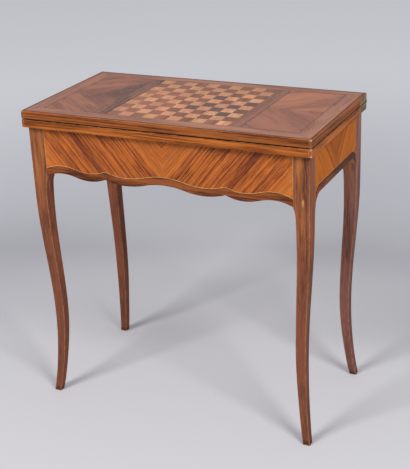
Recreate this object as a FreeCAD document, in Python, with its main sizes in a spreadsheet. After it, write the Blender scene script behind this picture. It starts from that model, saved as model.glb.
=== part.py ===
import FreeCAD, Part
import math
import os
import Sketcher
from FreeCAD import Placement, Rotation, Vector

# A games table with a top of two leaves. The upper leaf folds back on end hinges, and both leaves swivel
# a quarter turn on the frame, so that the opened top is carried by the frame and a well is uncovered.
# The frame is X wide and Y deep, its front faces -Y, and Z is up from the floor.

# Driving dimensions in millimetres: name, size, what it measures.
DIMENSIONS = [
    ("table_height", 740.0, "floor to the top of the upper leaf"),
    ("top_width", 706.0, "leaf, end to end"),
    ("top_depth", 376.0, "front edge to the back of the hinge knuckles"),
    ("leaf_thickness", 18.7, "each leaf, so that the opened top is level"),
    ("leaf_gap", 1.8, "seam between the closed leaves"),
    ("leaf_run", 0.3, "running gap between the lower leaf and the frame"),
    ("lipping_width", 6.0, "solid edge strip round each leaf"),
    ("lipping_round", 1.5, "rounding of the outer edges"),
    ("veneer_thickness", 1.0, "sawn veneer"),
    ("baize_thickness", 0.8, "cloth on the inner faces and in the well"),
    ("baize_border", 30.0, "veneer band round the baize"),
    ("front_border", 32.0, "border band in front of the board"),
    ("back_border", 28.2, "border band behind the board"),
    ("divider_width", 30.0, "bands at the sides of the board"),
    ("end_border", 34.0, "border band at the ends of the top"),
    ("hinge_plate_length", 48.0, "along the end of the leaf"),
    ("hinge_plate_thickness", 1.6, "one layer of the knuckle"),
    ("hinge_plate_margin", 2.0, "wood left above and below the plates"),
    ("hinge_layer_gap", 0.2, "between the two layers of the knuckle"),
    ("knuckle_radius", 3.5, "round ear of each plate"),
    ("knuckle_clearance", 0.3, "room round an ear"),
    ("hinge_edge_gap", 0.3, "leaf edge to the hinge line"),
    ("hinge_pin_radius", 1.5, "hinge pin"),
    ("running_clearance", 0.05, "round a pin that turns"),
    ("joint_clearance", 0.05, "round a piece that is let in"),
    ("overhang_end", 8.5, "top beyond the outer faces of the legs, at each end"),
    ("overhang_front", 12.5, "top beyond the outer faces of the legs, front and back"),
    ("leg_block", 38.0, "square block at the top of a leg"),
    ("leg_shaft", 33.5, "section of a leg where the ears of its block end"),
    ("leg_ear_drop", 28.0, "height of the ears, below the block"),
    ("leg_ankle", 23.3, "section at the ankle"),
    ("leg_foot", 17.0, "section at the floor"),
    ("leg_knee_rise", 1.0, "end of the block, above the lobes of the apron"),
    ("leg_bend_drop", 42.5, "end of the block to where the outer faces start to curve in"),
    ("leg_ankle_height", 210.0, "narrowest stance"),
    ("ankle_inset_side", 15.0, "outer face of the ankle, in from the end of the frame"),
    ("ankle_inset_front", 10.0, "outer face of the ankle, in from the front or back"),
    ("foot_kick", 15.4, "toe, out from the ankle"),
    ("leg_arris", 1.0, "rounding of the corners of a leg"),
    ("rail_thickness", 22.0, "core of an apron"),
    ("rail_setback", 1.6, "veneer behind the face of the legs"),
    ("apron_depth", 119.0, "top of the frame to the lowest lobes"),
    ("apron_end_rise", 1.0, "lower edge at the legs, above the lobes"),
    ("front_centre_rise", 13.0, "crest at the middle"),
    ("front_arch_span", 42.5, "leg to the crest of the arch beside it"),
    ("front_arch_rise", 11.0, "arch, above the lobes"),
    ("front_outer_span", 72.0, "crest of the arch to the outer lobe"),
    ("front_cusp_span", 42.0, "outer lobe to the cusp"),
    ("front_cusp_rise", 9.0, "cusp, above the lobes"),
    ("front_inner_span", 52.0, "cusp to the inner lobe"),
    ("side_crest_rise", 19.0, "straight middle of a side apron, above the lobes"),
    ("side_bracket", 27.5, "curved bracket beside the leg"),
    ("bead_height", 18.0, "moulding along the lower edge"),
    ("bead_thickness", 2.6, "moulding, out from the core"),
    ("bead_bevel", 1.2, "bevel along the moulding's outer edges"),
    ("string_width", 1.3, "pale line above the moulding and beside the legs"),
    ("tenon_length", 18.0, "into the leg"),
    ("tenon_thickness", 8.0, "rail tenon"),
    ("tenon_height", 70.0, "rail tenon"),
    ("tenon_drop", 14.0, "below the top of the frame"),
    ("peg_rail_gap", 3.35, "stop peg to the side of the pivot rail"),
    ("pivot_rail_thickness", 24.0, "rail that carries the swivel"),
    ("pivot_block", 20.0, "blocks under the ends of the pivot rail"),
    ("pivot_block_margin", 10.0, "block to the wall of the well"),
    ("pivot_radius", 6.0, "spindle"),
    ("pivot_head_radius", 11.0, "flange of the spindle"),
    ("pivot_head_height", 3.0, "flange of the spindle"),
    ("bush_radius", 9.0, "bush in the pivot rail"),
    ("peg_plate_gap", 8.35, "stop peg to the side of the pivot plate"),
    ("pivot_plate_thickness", 3.0, "plate under the lower leaf"),
    ("washer_radius", 13.0, "under the pivot rail"),
    ("washer_thickness", 2.0, "under the pivot rail"),
    ("nut_radius", 11.0, "across the corners, halved"),
    ("nut_height", 8.0, "under the washer"),
    ("thread_tail", 3.0, "spindle below the nut"),
    ("stop_peg_radius", 5.0, "under the lower leaf"),
    ("stop_peg_drop", 12.0, "below the lower leaf"),
    ("stop_peg_depth", 11.0, "into the lower leaf"),
    ("stop_clearance", 0.3, "peg to the back rail at the ends of the swing"),
    ("screw_radius", 1.5, "shank"),
    ("screw_head_radius", 3.0, "countersunk head"),
    ("screw_head_height", 1.5, "countersunk head"),
    ("screw_slot", 0.8, "slot in the head"),
    ("pivot_screw_length", 12.0, "plate to leaf"),
    ("hinge_screw_length", 14.0, "hinge plate to leaf"),
    ("screw_margin", 10.0, "screw to the edges of its plate"),
    ("well_depth", 72.0, "top of the frame to the bottom board"),
    ("well_board", 8.0, "bottom board"),
    ("well_fit", 0.3, "room round the bottom board"),
    ("bearer_width", 10.0, "strips under the bottom board"),
    ("bearer_height", 12.0, "strips under the bottom board"),
    ("partition_thickness", 10.0, "wall of the well under the pivot rail"),
]
BOARD_SQUARES = 10
LEG_EAR_STEPS = 3
LEG_UPPER_STEPS = 4
LEG_LOWER_STEPS = 3
CUTTER_OVERRUN = 2.0
TOUCH = 1e-4
QUARTER_TURN = 90.0

doc = FreeCAD.newDocument("games_table")
sizes = doc.addObject("Spreadsheet::Sheet", "Sizes")
for row, (alias, size, words) in enumerate(DIMENSIONS, start=1):
    sizes.set(f"A{row}", alias)
    sizes.set(f"B{row}", str(size))
    sizes.set(f"C{row}", words)
    sizes.setAlias(f"B{row}", alias)
doc.recompute()

# Heights and places that several pieces share, as expressions of the sheet.
END = "Sizes.top_width / 2"
FRONT = "-Sizes.top_depth / 2"
HINGE_Y = "(Sizes.top_depth / 2 - Sizes.knuckle_radius)"
LEAF_BACK = f"({HINGE_Y} - Sizes.hinge_edge_gap)"
UPPER_TOP = "Sizes.table_height"
UPPER_BOTTOM = "(Sizes.table_height - Sizes.leaf_thickness)"
LOWER_TOP = f"({UPPER_BOTTOM} - Sizes.leaf_gap)"
LOWER_BOTTOM = f"({LOWER_TOP} - Sizes.leaf_thickness)"
HINGE_Z = f"({LOWER_TOP} + Sizes.leaf_gap / 2)"
FRAME_TOP = f"({LOWER_BOTTOM} - Sizes.leaf_run)"
PIVOT = f"({HINGE_Y} / 2)"
CORE_END = f"({END} - Sizes.lipping_width)"
CORE_FRONT = f"({FRONT} + Sizes.lipping_width)"
CORE_BACK = f"({LEAF_BACK} - Sizes.lipping_width)"
FRONT_FACE = "(Sizes.top_depth / 2 - Sizes.overhang_front)"
SIDE_FACE = "(Sizes.top_width / 2 - Sizes.overhang_end)"
LOBES = f"({FRAME_TOP} - Sizes.apron_depth)"
KNEE = f"({LOBES} + Sizes.leg_knee_rise)"
BEND = f"({KNEE} - Sizes.leg_bend_drop)"
FRONT_SHOULDER = f"({SIDE_FACE} - Sizes.leg_block)"
SIDE_SHOULDER = f"({FRONT_FACE} - Sizes.leg_block)"
FACING = "Sizes.rail_setback + Sizes.veneer_thickness"
RAIL_INNER_Y = f"({FRONT_FACE} - {FACING.replace(' + ', ' - ')} - Sizes.rail_thickness)"
RAIL_INNER_X = f"({SIDE_FACE} - {FACING.replace(' + ', ' - ')} - Sizes.rail_thickness)"

nodes = []


def value(expression):
    """The size that an expression of the sheet has now."""
    return float(sizes.evalExpression(expression))


def negative(expression):
    return f"-({expression})"


def node(part, label):
    """Names a finished sub-part and lists it for export."""
    part.Label = label
    nodes.append(part)
    return part


def place(part, x="0", y="0", z="0"):
    for axis, expression in zip("xyz", (x, y, z)):
        part.setExpression("Placement.Base." + axis, expression)


def box(name, *spans):
    """A board between two planes on each axis; spans are pairs of expressions for X, Y and Z."""
    part = doc.addObject("Part::Box", name)
    for side, axis, (near, far) in zip(("Length", "Width", "Height"), "xyz", spans):
        low, high = sorted((near, far), key=value)
        part.setExpression(side, f"({high}) - ({low})")
        part.setExpression("Placement.Base." + axis, low)
    return part


def rod(name, radius, near, far, x="0", y="0", z="0", along="z"):
    """A round bar along one axis between two planes of it."""
    part = doc.addObject("Part::Cylinder", name)
    low, high = sorted((near, far), key=value)
    part.setExpression("Radius", radius)
    part.setExpression("Height", f"({high}) - ({low})")
    if along == "x":
        part.Placement = Placement(Vector(), Rotation(Vector(0, 1, 0), QUARTER_TURN))
        place(part, low, y, z)
    else:
        place(part, x, y, low)
    return part


def fuse(name, parts):
    part = doc.addObject("Part::MultiFuse", name)
    part.Shapes = parts
    return part


def cut(name, base, tools):
    part = doc.addObject("Part::Cut", name)
    part.Base = base
    part.Tool = tools[0] if len(tools) == 1 else fuse(name + "_tools", tools)
    return part


def group(label, parts):
    """Like pieces that share one node as separate solids."""
    part = doc.addObject("Part::Compound", label + "_group")
    part.Links = parts
    return node(part, label)


def new_body(name):
    return doc.addObject("PartDesign::Body", name)


def origin_plane(body, role):
    return next(feature for feature in body.Origin.OriginFeatures if feature.Role == role)


def sketch_on(body, name, role, offset):
    sketch = body.newObject("Sketcher::SketchObject", name)
    sketch.AttachmentSupport = [(origin_plane(body, role), "")]
    sketch.MapMode = "FlatFace"
    sketch.setExpression("AttachmentOffset.Base.z", offset)
    return sketch


def arc_between(start, end, level):
    """An arc between two points that is level at one of them, and whether it runs from end to start."""
    flat, other = (start, end) if level == "start" else (end, start)
    rise = other[1] - flat[1]
    reach = ((other[0] - flat[0]) ** 2 + rise ** 2) / (2 * rise)
    centre = Vector(flat[0], flat[1] + reach, 0)
    angles = [math.atan2(point[1] - centre.y, point[0] - centre.x) for point in (start, end)]
    backwards = (angles[1] - angles[0]) % math.tau > math.pi
    if backwards:
        angles.reverse()
    circle = Part.Circle(centre, Vector(0, 0, 1), abs(reach))
    return Part.ArcOfCircle(circle, *angles), backwards


def outline(sketch, corners, bends=None):
    """A closed outline through corners given as pairs of expressions. A bend names the end at which the
    stretch after a corner is level: it is then an arc, and otherwise it is straight."""
    count = len(corners)
    bends = bends or [None] * count
    points = [(value(across), value(up)) for across, up in corners]
    ends = []
    for index in range(count):
        start, end = points[index], points[(index + 1) % count]
        backwards = False
        if bends[index]:
            curve, backwards = arc_between(start, end, bends[index])
        else:
            curve = Part.LineSegment(Vector(*start, 0), Vector(*end, 0))
        sketch.addGeometry(curve, False)
        ends.append((2, 1) if backwards else (1, 2))
    links = []
    for index in range(count):
        before = (index - 1) % count
        links.append(Sketcher.Constraint("Coincident", before, ends[before][1], index, ends[index][0]))
    for index, level in enumerate(bends):
        if level:
            links.append(Sketcher.Constraint("Vertical", index, 3, index, ends[index][level == "end"]))
    sketch.addConstraint(links)
    for index, (corner, point) in enumerate(zip(corners, points)):
        for kind, axis, expression, size in zip(("DistanceX", "DistanceY"), (-2, -1), corner, point):
            if expression == "0":
                sketch.addConstraint(Sketcher.Constraint("PointOnObject", index, ends[index][0], axis))
                continue
            number = sketch.addConstraint(Sketcher.Constraint(kind, -1, 1, index, ends[index][0], size))
            sketch.setExpression(f"Constraints[{number}]", expression)
    return sketch


def pad(body, name, sketch, length, inwards=False):
    feature = body.newObject("PartDesign::Pad", name)
    feature.Profile = sketch
    feature.Reversed = inwards
    feature.setExpression("Length", length)
    return feature


def dressed(body, name, feature, kind, size, chosen):
    """Fillets or chamfers the edges of a feature that pass a test."""
    doc.recompute()
    edges = feature.Shape.Edges
    names = [f"Edge{index}" for index, edge in enumerate(edges, start=1) if chosen(edge)]
    dressing = body.newObject("PartDesign::" + kind, name)
    dressing.Base = (feature, names)
    dressing.setExpression("Radius" if kind == "Fillet" else "Size", size)
    return dressing


def middle(edge):
    return edge.valueAt((edge.FirstParameter + edge.LastParameter) / 2)


def lies_at(number, plane):
    """Whether a coordinate is on a plane, within the accuracy of the solids."""
    return math.isclose(number, plane, abs_tol=TOUCH)


# Legs: square section, straight outer faces down to the bend, an S curve in to the ankle and out to the toe.

def leg_sections():
    """Height, section and inset of each station of a leg, from the knee to the floor. Below the block
    the inner faces are hollowed into ears, so that the edge of the apron runs on into the leg."""
    heights = []
    for step in range(LEG_EAR_STEPS + 1):
        share = step / LEG_EAR_STEPS
        heights.append((f"({KNEE} - Sizes.leg_ear_drop * {share})", 0.0, (1 - share) ** 2))
    heights.append((BEND, 0.0, 0.0))
    for step in range(1, LEG_UPPER_STEPS + 1):
        share = step / LEG_UPPER_STEPS
        height = f"({BEND} - ({BEND} - Sizes.leg_ankle_height) * {share})"
        heights.append((height, (1 - math.cos(math.pi * share)) / 2, 0.0))
    sections = []
    for height, swing, ear in heights:
        taper = f"({height} - Sizes.leg_ankle_height) / ({KNEE} - Sizes.leg_ankle_height)"
        section = f"(Sizes.leg_ankle + (Sizes.leg_shaft - Sizes.leg_ankle) * ({taper}) ^ 1.4"
        section += f" + (Sizes.leg_block - Sizes.leg_shaft) * {ear})"
        sections.append((height, section, swing, 0.0))
    for step in range(1, LEG_LOWER_STEPS + 1):
        share = step / LEG_LOWER_STEPS
        height = f"(Sizes.leg_ankle_height * {1 - share})"
        section = f"(Sizes.leg_ankle + (Sizes.leg_foot - Sizes.leg_ankle) * {share})"
        sections.append((height, section, 1.0, share ** 2))
    return sections


def leg_outline(sketch, side, front, section, swing, kick):
    """One square section with rounded corners, measured in from the outer faces of the frame."""
    outer_x = f"({SIDE_FACE} - Sizes.ankle_inset_side * {swing} + Sizes.foot_kick * {kick})"
    outer_y = f"({FRONT_FACE} - Sizes.ankle_inset_front * {swing} + Sizes.foot_kick * {kick})"
    inner_x = f"({outer_x} - {section})"
    inner_y = f"({outer_y} - {section})"
    rim = "Sizes.leg_arris"
    ring = [
        (f"{outer_x} - {rim}", outer_y), (f"{inner_x} + {rim}", outer_y),
        (inner_x, f"{outer_y} - {rim}"), (inner_x, f"{inner_y} + {rim}"),
        (f"{inner_x} + {rim}", inner_y), (f"{outer_x} - {rim}", inner_y),
        (outer_x, f"{inner_y} + {rim}"), (outer_x, f"{outer_y} - {rim}"),
    ]
    corners = [(f"{side} * ({across})", f"{front} * ({up})") for across, up in ring]
    outline(sketch, corners, [None, "start", None, "end", None, "start", None, "end"])


def mortise(name, side, front, through_x):
    """Room in a leg for the tenon of a front or back rail, along X, or of a side rail, along Y."""
    room = "Sizes.joint_clearance"
    low = f"({FRAME_TOP} - Sizes.tenon_drop - Sizes.tenon_height - {room})"
    high = f"({FRAME_TOP} - Sizes.tenon_drop + {room})"
    shoulder, inner = (FRONT_SHOULDER, RAIL_INNER_Y) if through_x else (SIDE_SHOULDER, RAIL_INNER_X)
    long_sign, cross_sign = (side, front) if through_x else (front, side)
    middle_line = f"({inner} + Sizes.rail_thickness / 2)"
    half = f"(Sizes.tenon_thickness / 2 + {room})"
    tip = f"({shoulder} + Sizes.tenon_length + {room})"
    deep = (f"{long_sign} * ({shoulder} - {CUTTER_OVERRUN})", f"{long_sign} * {tip}")
    wide = (f"{cross_sign} * ({middle_line} - {half})", f"{cross_sign} * ({middle_line} + {half})")
    spans = (deep, wide) if through_x else (wide, deep)
    return box(name, *spans, (low, high))


def leg(label, side, front):
    body = new_body(label + "_turned")
    sketches = []
    for number, (height, section, swing, kick) in enumerate(leg_sections()):
        sketch = sketch_on(body, f"{label}_section_{number}", "XY_Plane", height)
        leg_outline(sketch, side, front, section, swing, kick)
        sketches.append(sketch)
    pad(body, label + "_block", sketches[0], f"{FRAME_TOP} - {KNEE}")
    loft = body.newObject("PartDesign::AdditiveLoft", label + "_curve")
    loft.Profile = sketches[0]
    loft.Sections = [(sketch, [""]) for sketch in sketches[1:]]
    mortises = [
        mortise(label + "_front_mortise", side, front, through_x=True),
        mortise(label + "_side_mortise", side, front, through_x=False),
    ]
    node(cut(label + "_mortised", body, mortises), label)


for front_name, front in (("front", -1), ("back", 1)):
    for side_name, side in (("left", -1), ("right", 1)):
        leg(f"leg_{front_name}_{side_name}", side, front)


# Aprons: each is drawn as if it faced the front, then turned to its side of the frame.

def midway(first, second):
    return f"(({first}) + ({second})) / 2"


ARCH_AT = f"({FRONT_SHOULDER} - Sizes.front_arch_span)"
OUTER_LOBE_AT = f"({ARCH_AT} - Sizes.front_outer_span)"
CUSP_AT = f"({OUTER_LOBE_AT} - Sizes.front_cusp_span)"
INNER_LOBE_AT = f"({CUSP_AT} - Sizes.front_inner_span)"
FRONT_EDGE = [
    ("0", "Sizes.front_centre_rise", "start"),
    (midway("0", INNER_LOBE_AT), midway("Sizes.front_centre_rise", "0"), "end"),
    (INNER_LOBE_AT, "0", "start"),
    (CUSP_AT, "Sizes.front_cusp_rise", "end"),
    (OUTER_LOBE_AT, "0", "start"),
    (midway(OUTER_LOBE_AT, ARCH_AT), midway("0", "Sizes.front_arch_rise"), "end"),
    (ARCH_AT, "Sizes.front_arch_rise", "start"),
]
SIDE_EDGE = [
    ("0", "Sizes.side_crest_rise", None),
    (f"{SIDE_SHOULDER} - Sizes.side_bracket", "Sizes.side_crest_rise", "start"),
]


def lower_edge(edge, shoulder, lift, short="0"):
    """Half of an apron's lower edge, from the middle to the leg or a little short of it, raised by lift,
    and its bends. The last bend is level at its crest."""
    base = f"{LOBES} + {lift}"
    corners = [(across, f"{base} + {rise}") for across, rise, bend in edge]
    crest_at, crest_rise, bend = edge[-1]
    reach = f"({shoulder} - ({crest_at}))"
    drop = f"({crest_rise} - Sizes.apron_end_rise)"
    radius = f"(({reach} ^ 2 + {drop} ^ 2) / (2 * {drop}))"
    fall = f"({radius} - sqrt({radius} ^ 2 - ({reach} - {short}) ^ 2))"
    corners.append((f"{shoulder} - {short}", f"{base} + {crest_rise} - {fall}"))
    return corners, [bend for across, rise, bend in edge]


def backwards(corners, bends):
    """The same chain from the leg to the middle."""
    swap = {"start": "end", "end": "start", None: None}
    return corners[::-1], [swap[bend] for bend in bends[::-1]]


def both_halves(body, name, features):
    mirror = body.newObject("PartDesign::Mirrored", name)
    mirror.Originals = features
    mirror.MirrorPlane = (origin_plane(body, "YZ_Plane"), [""])
    body.Tip = mirror
    return mirror


def mirrored(name, part):
    """The same piece on the other side of the middle."""
    other = doc.addObject("Part::Mirroring", name)
    other.Source = part
    other.Normal = Vector(1, 0, 0)
    return other


def turned(part, turn):
    part.Placement = Placement(Vector(), Rotation(Vector(0, 0, 1), turn * QUARTER_TURN))
    return part


def rail(name, turn, core, shoulder, edge):
    """The core of an apron, with a tenon at each end."""
    body = new_body(name + "_body")
    corners, bends = lower_edge(edge, shoulder, "0")
    corners += [(shoulder, FRAME_TOP), ("0", FRAME_TOP)]
    profile = outline(sketch_on(body, name + "_profile", "XZ_Plane", core), corners, bends + [None] * 3)
    board = pad(body, name + "_board", profile, "Sizes.rail_thickness", inwards=True)
    tenon_face = f"{core} - (Sizes.rail_thickness - Sizes.tenon_thickness) / 2"
    tip = f"{shoulder} + Sizes.tenon_length"
    high = f"{FRAME_TOP} - Sizes.tenon_drop"
    low = f"{high} - Sizes.tenon_height"
    cheek = sketch_on(body, name + "_tenon_profile", "XZ_Plane", tenon_face)
    outline(cheek, [(shoulder, low), (tip, low), (tip, high), (shoulder, high)])
    tenon = pad(body, name + "_tenon", cheek, "Sizes.tenon_thickness", inwards=True)
    both_halves(body, name + "_whole", [board, tenon])
    node(turned(body, turn), name)


def bead_strip(name, core, low, high, bends):
    """One length of moulding between its lower and upper edges, bevelled along both."""
    body = new_body(name)
    back, back_bends = backwards(high, bends)
    profile = sketch_on(body, name + "_profile", "XZ_Plane", core)
    outline(profile, low + back, bends + [None] + back_bends + [None])
    strip = pad(body, name + "_flat", profile, "Sizes.bead_thickness")
    if low[0][0] == "0":
        strip = both_halves(body, name + "_whole", [strip])
    face = -value(f"{core} + Sizes.bead_thickness")
    ends = [value(low[0][0]), value(low[-1][0])]

    def long_edge(edge):
        on_face = lies_at(middle(edge).y, face)
        return on_face and not any(lies_at(abs(middle(edge).x), end) for end in ends if end)

    body.Tip = dressed(body, name + "_bevelled", strip, "Chamfer", "Sizes.bead_bevel", long_edge)
    return body


def bead(name, turn, core, shoulder, edge):
    """The moulding along the lower edge, mitred at each cusp."""
    low, bends = lower_edge(edge, shoulder, "0")
    high, bends = lower_edge(edge, shoulder, "Sizes.bead_height")
    mitre = 0
    strips = []
    for number, station in enumerate(low):
        if number == len(low) - 1 or station[0] == CUSP_AT:
            run = slice(mitre, number + 1)
            strip = bead_strip(f"{name}_{mitre}", core, low[run], high[run], bends[mitre:number])
            strips.append(strip)
            if mitre:
                strips.append(mirrored(f"{name}_{mitre}_left", strip))
            mitre = number
    turned(group(name, strips), turn)


def stringing(name, turn, core, shoulder, edge):
    """The pale line above the moulding, which turns up beside the legs."""
    body = new_body(name + "_body")
    inner = f"{shoulder} - Sizes.string_width"
    lift = "Sizes.bead_height + Sizes.string_width"
    low, low_bends = lower_edge(edge, shoulder, "Sizes.bead_height")
    high, high_bends = backwards(*lower_edge(edge, shoulder, lift, "Sizes.string_width"))
    corners = low + [(shoulder, FRAME_TOP), (inner, FRAME_TOP)] + high
    profile = sketch_on(body, name + "_profile", "XZ_Plane", core)
    outline(profile, corners, low_bends + [None] * 3 + high_bends + [None])
    line = pad(body, name + "_line", profile, "Sizes.veneer_thickness")
    both_halves(body, name + "_whole", [line])
    node(turned(body, turn), name)


def veneer(name, turn, core, shoulder, edge):
    """Two book-matched leaves of veneer that meet at the middle."""
    body = new_body(name + "_right")
    inner = f"{shoulder} - Sizes.string_width"
    lift = "Sizes.bead_height + Sizes.string_width"
    corners, bends = lower_edge(edge, shoulder, lift, "Sizes.string_width")
    corners += [(inner, FRAME_TOP), ("0", FRAME_TOP)]
    profile = sketch_on(body, name + "_profile", "XZ_Plane", core)
    outline(profile, corners, bends + [None] * 3)
    pad(body, name + "_sheet", profile, "Sizes.veneer_thickness")
    turned(group(name, [body, mirrored(name + "_left", body)]), turn)


FRONT_APRON = (f"{FRONT_FACE} - ({FACING})", FRONT_SHOULDER, FRONT_EDGE)
SIDE_APRON = (f"{SIDE_FACE} - ({FACING})", SIDE_SHOULDER, SIDE_EDGE)
for turn, (side_name, shape) in enumerate(
    (("front", FRONT_APRON), ("right", SIDE_APRON), ("back", FRONT_APRON), ("left", SIDE_APRON))
):
    rail(side_name + "_rail", turn, *shape)
    veneer(side_name + "_veneer", turn, *shape)
    stringing(side_name + "_stringing", turn, *shape)
    bead(side_name + "_bead", turn, *shape)


# Screws: countersunk, with a slotted head. A screw is drawn pointing down and turned to its direction.

def screw_body(name, length, room):
    """Head and shank, wider all round by room, as the screw itself or as the hole for it."""
    head = doc.addObject("Part::Cone", name + "_head")
    head.setExpression("Radius1", f"Sizes.screw_radius + {room}")
    head.setExpression("Radius2", f"Sizes.screw_head_radius + {room}")
    head.setExpression("Height", "Sizes.screw_head_height")
    place(head, z="-Sizes.screw_head_height")
    shank_tip = f"-({length} + {room})"
    shank = rod(name + "_shank", f"Sizes.screw_radius + {room}", shank_tip, "-Sizes.screw_head_height")
    return fuse(name + "_solid", [head, shank])


def aim(part, at, facing):
    """Stands a screw with its head at a place, facing that way."""
    part.Placement = Placement(Vector(), Rotation(Vector(0, 0, 1), Vector(*facing)))
    place(part, *at)
    return part


def screw(name, length, at, facing):
    solid = screw_body(name, length, "0")
    length_span = ("-Sizes.screw_head_radius", "Sizes.screw_head_radius")
    width_span = ("-Sizes.screw_slot / 2", "Sizes.screw_slot / 2")
    depth_span = ("-Sizes.screw_head_height / 2", str(CUTTER_OVERRUN))
    slot = box(name + "_slot", length_span, width_span, depth_span)
    return aim(cut(name + "_slotted", solid, [slot]), at, facing)


def screw_hole(name, length, at, facing):
    return aim(screw_body(name, length, "Sizes.joint_clearance"), at, facing)


# End hinges: one plate let into the end of each leaf, with a round ear on the hinge line.
# The ears lie side by side: the lower plate's ear outside, the upper plate's ear behind it.

OUTER_LAYER = "Sizes.hinge_plate_thickness"
INNER_LAYER = f"({OUTER_LAYER} + Sizes.hinge_layer_gap)"
BOTH_LAYERS = f"({INNER_LAYER} + Sizes.hinge_plate_thickness)"
PLATE_Y = (f"{LEAF_BACK} - Sizes.hinge_plate_length", LEAF_BACK)
LOWER_PLATE_Z = (f"{LOWER_BOTTOM} + Sizes.hinge_plate_margin", LOWER_TOP)
UPPER_PLATE_Z = (UPPER_BOTTOM, f"{UPPER_TOP} - Sizes.hinge_plate_margin")
LEAVES = (("lower", LOWER_PLATE_Z, OUTER_LAYER), ("upper", UPPER_PLATE_Z, BOTH_LAYERS))


def inside_end(side, depth):
    """A plane square to X, so far in from the end of the leaves."""
    return f"{side} * ({END} - ({depth}))"


def ear(name, side, near_depth, far_depth, radius):
    planes = (inside_end(side, near_depth), inside_end(side, far_depth))
    return rod(name, radius, *planes, y=HINGE_Y, z=HINGE_Z, along="x")


def hinge_screw_places(side, plate_z):
    """One screw near the front of the plate, one near its knuckle, both at half its height."""
    height = midway(*plate_z)
    for reach in (PLATE_Y[0] + " + Sizes.screw_margin / 2", PLATE_Y[1] + " - Sizes.screw_margin"):
        yield inside_end(side, "0"), reach, height


def hinge_screws(name, side, plate_z, make):
    return [
        make(f"{name}_{number}", "Sizes.hinge_screw_length", at, (side, 0, 0))
        for number, at in enumerate(hinge_screw_places(side, plate_z))
    ]


SIDES = (("left", -1), ("right", 1))
PIN = "Sizes.hinge_pin_radius"
EAR = "Sizes.knuckle_radius"
EAR_ROOM = f"{EAR} + Sizes.knuckle_clearance"
OUTSIDE = f"-{CUTTER_OVERRUN}"
BEHIND = f"{BOTH_LAYERS} + {CUTTER_OVERRUN}"


def lower_plate(name, side):
    """One layer, at the end face, with its ear in the same layer."""
    flat_x = (inside_end(side, OUTER_LAYER), inside_end(side, "0"))
    flat = box(name + "_flat", flat_x, PLATE_Y, LOWER_PLATE_Z)
    blank = fuse(name + "_blank", [flat, ear(name + "_ear", side, "0", OUTER_LAYER, EAR)])
    eye = ear(name + "_eye", side, OUTSIDE, INNER_LAYER, f"{PIN} + Sizes.joint_clearance")
    holes = hinge_screws(name + "_hole", side, LOWER_PLATE_Z, screw_hole)
    return cut(name + "_drilled", blank, [eye] + holes)


def upper_plate(name, side):
    """Two layers, with its ear in the inner one and room for the other ear in the outer one."""
    flat_x = (inside_end(side, BOTH_LAYERS), inside_end(side, "0"))
    flat = box(name + "_flat", flat_x, PLATE_Y, UPPER_PLATE_Z)
    notched = cut(name + "_notched", flat, [ear(name + "_room", side, OUTSIDE, INNER_LAYER, EAR_ROOM)])
    blank = fuse(name + "_blank", [notched, ear(name + "_ear", side, INNER_LAYER, BOTH_LAYERS, EAR)])
    eye = ear(name + "_eye", side, "0", BEHIND, f"{PIN} + Sizes.running_clearance")
    holes = hinge_screws(name + "_hole", side, UPPER_PLATE_Z, screw_hole)
    return cut(name + "_drilled", blank, [eye] + holes)


for side_name, side in SIDES:
    node(lower_plate(side_name + "_hinge_lower", side), side_name + "_hinge_lower_plate")
    node(upper_plate(side_name + "_hinge_upper", side), side_name + "_hinge_upper_plate")

group("hinge_pins", [ear(side_name + "_hinge_pin", side, "0", BOTH_LAYERS, PIN) for side_name, side in SIDES])
for leaf_name, plate_z, _ in LEAVES:
    screws = [
        one
        for side_name, side in SIDES
        for one in hinge_screws(f"{leaf_name}_{side_name}_hinge_screw", side, plate_z, screw)
    ]
    group(leaf_name + "_hinge_screws", screws)


# Leaf edges: the end lippings run from front to back, and the front and back lippings lie between them.

def lipping(name, *spans, outer):
    """A strip with rounded outer edges. outer tests an edge, in the strip's own frame."""
    body = new_body(name)
    strip = body.newObject("PartDesign::AdditiveBox", name + "_strip")
    lows = []
    for side, (near_plane, far_plane) in zip(("Length", "Width", "Height"), spans):
        low, high = sorted((near_plane, far_plane), key=value)
        strip.setExpression(side, f"({high}) - ({low})")
        lows.append(low)
    dressed(body, name + "_rounded", strip, "Fillet", "Sizes.lipping_round", outer)
    place(body, *lows)
    return body


def lengthwise(edge):
    """Whether an edge runs along the strip, level."""
    return lies_at(edge.Vertexes[0].Z, edge.Vertexes[-1].Z)


def front_edges(edge):
    return lies_at(middle(edge).y, 0) and lengthwise(edge)


def back_edges(edge):
    return lies_at(middle(edge).y, value("Sizes.lipping_width")) and lengthwise(edge)


def end_edges(side):
    face = 0 if side < 0 else value("Sizes.lipping_width")

    def chosen(edge):
        on_end = lies_at(middle(edge).x, face)
        on_front = lies_at(middle(edge).y, 0) and lengthwise(edge)
        return on_end or on_front

    return chosen


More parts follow.
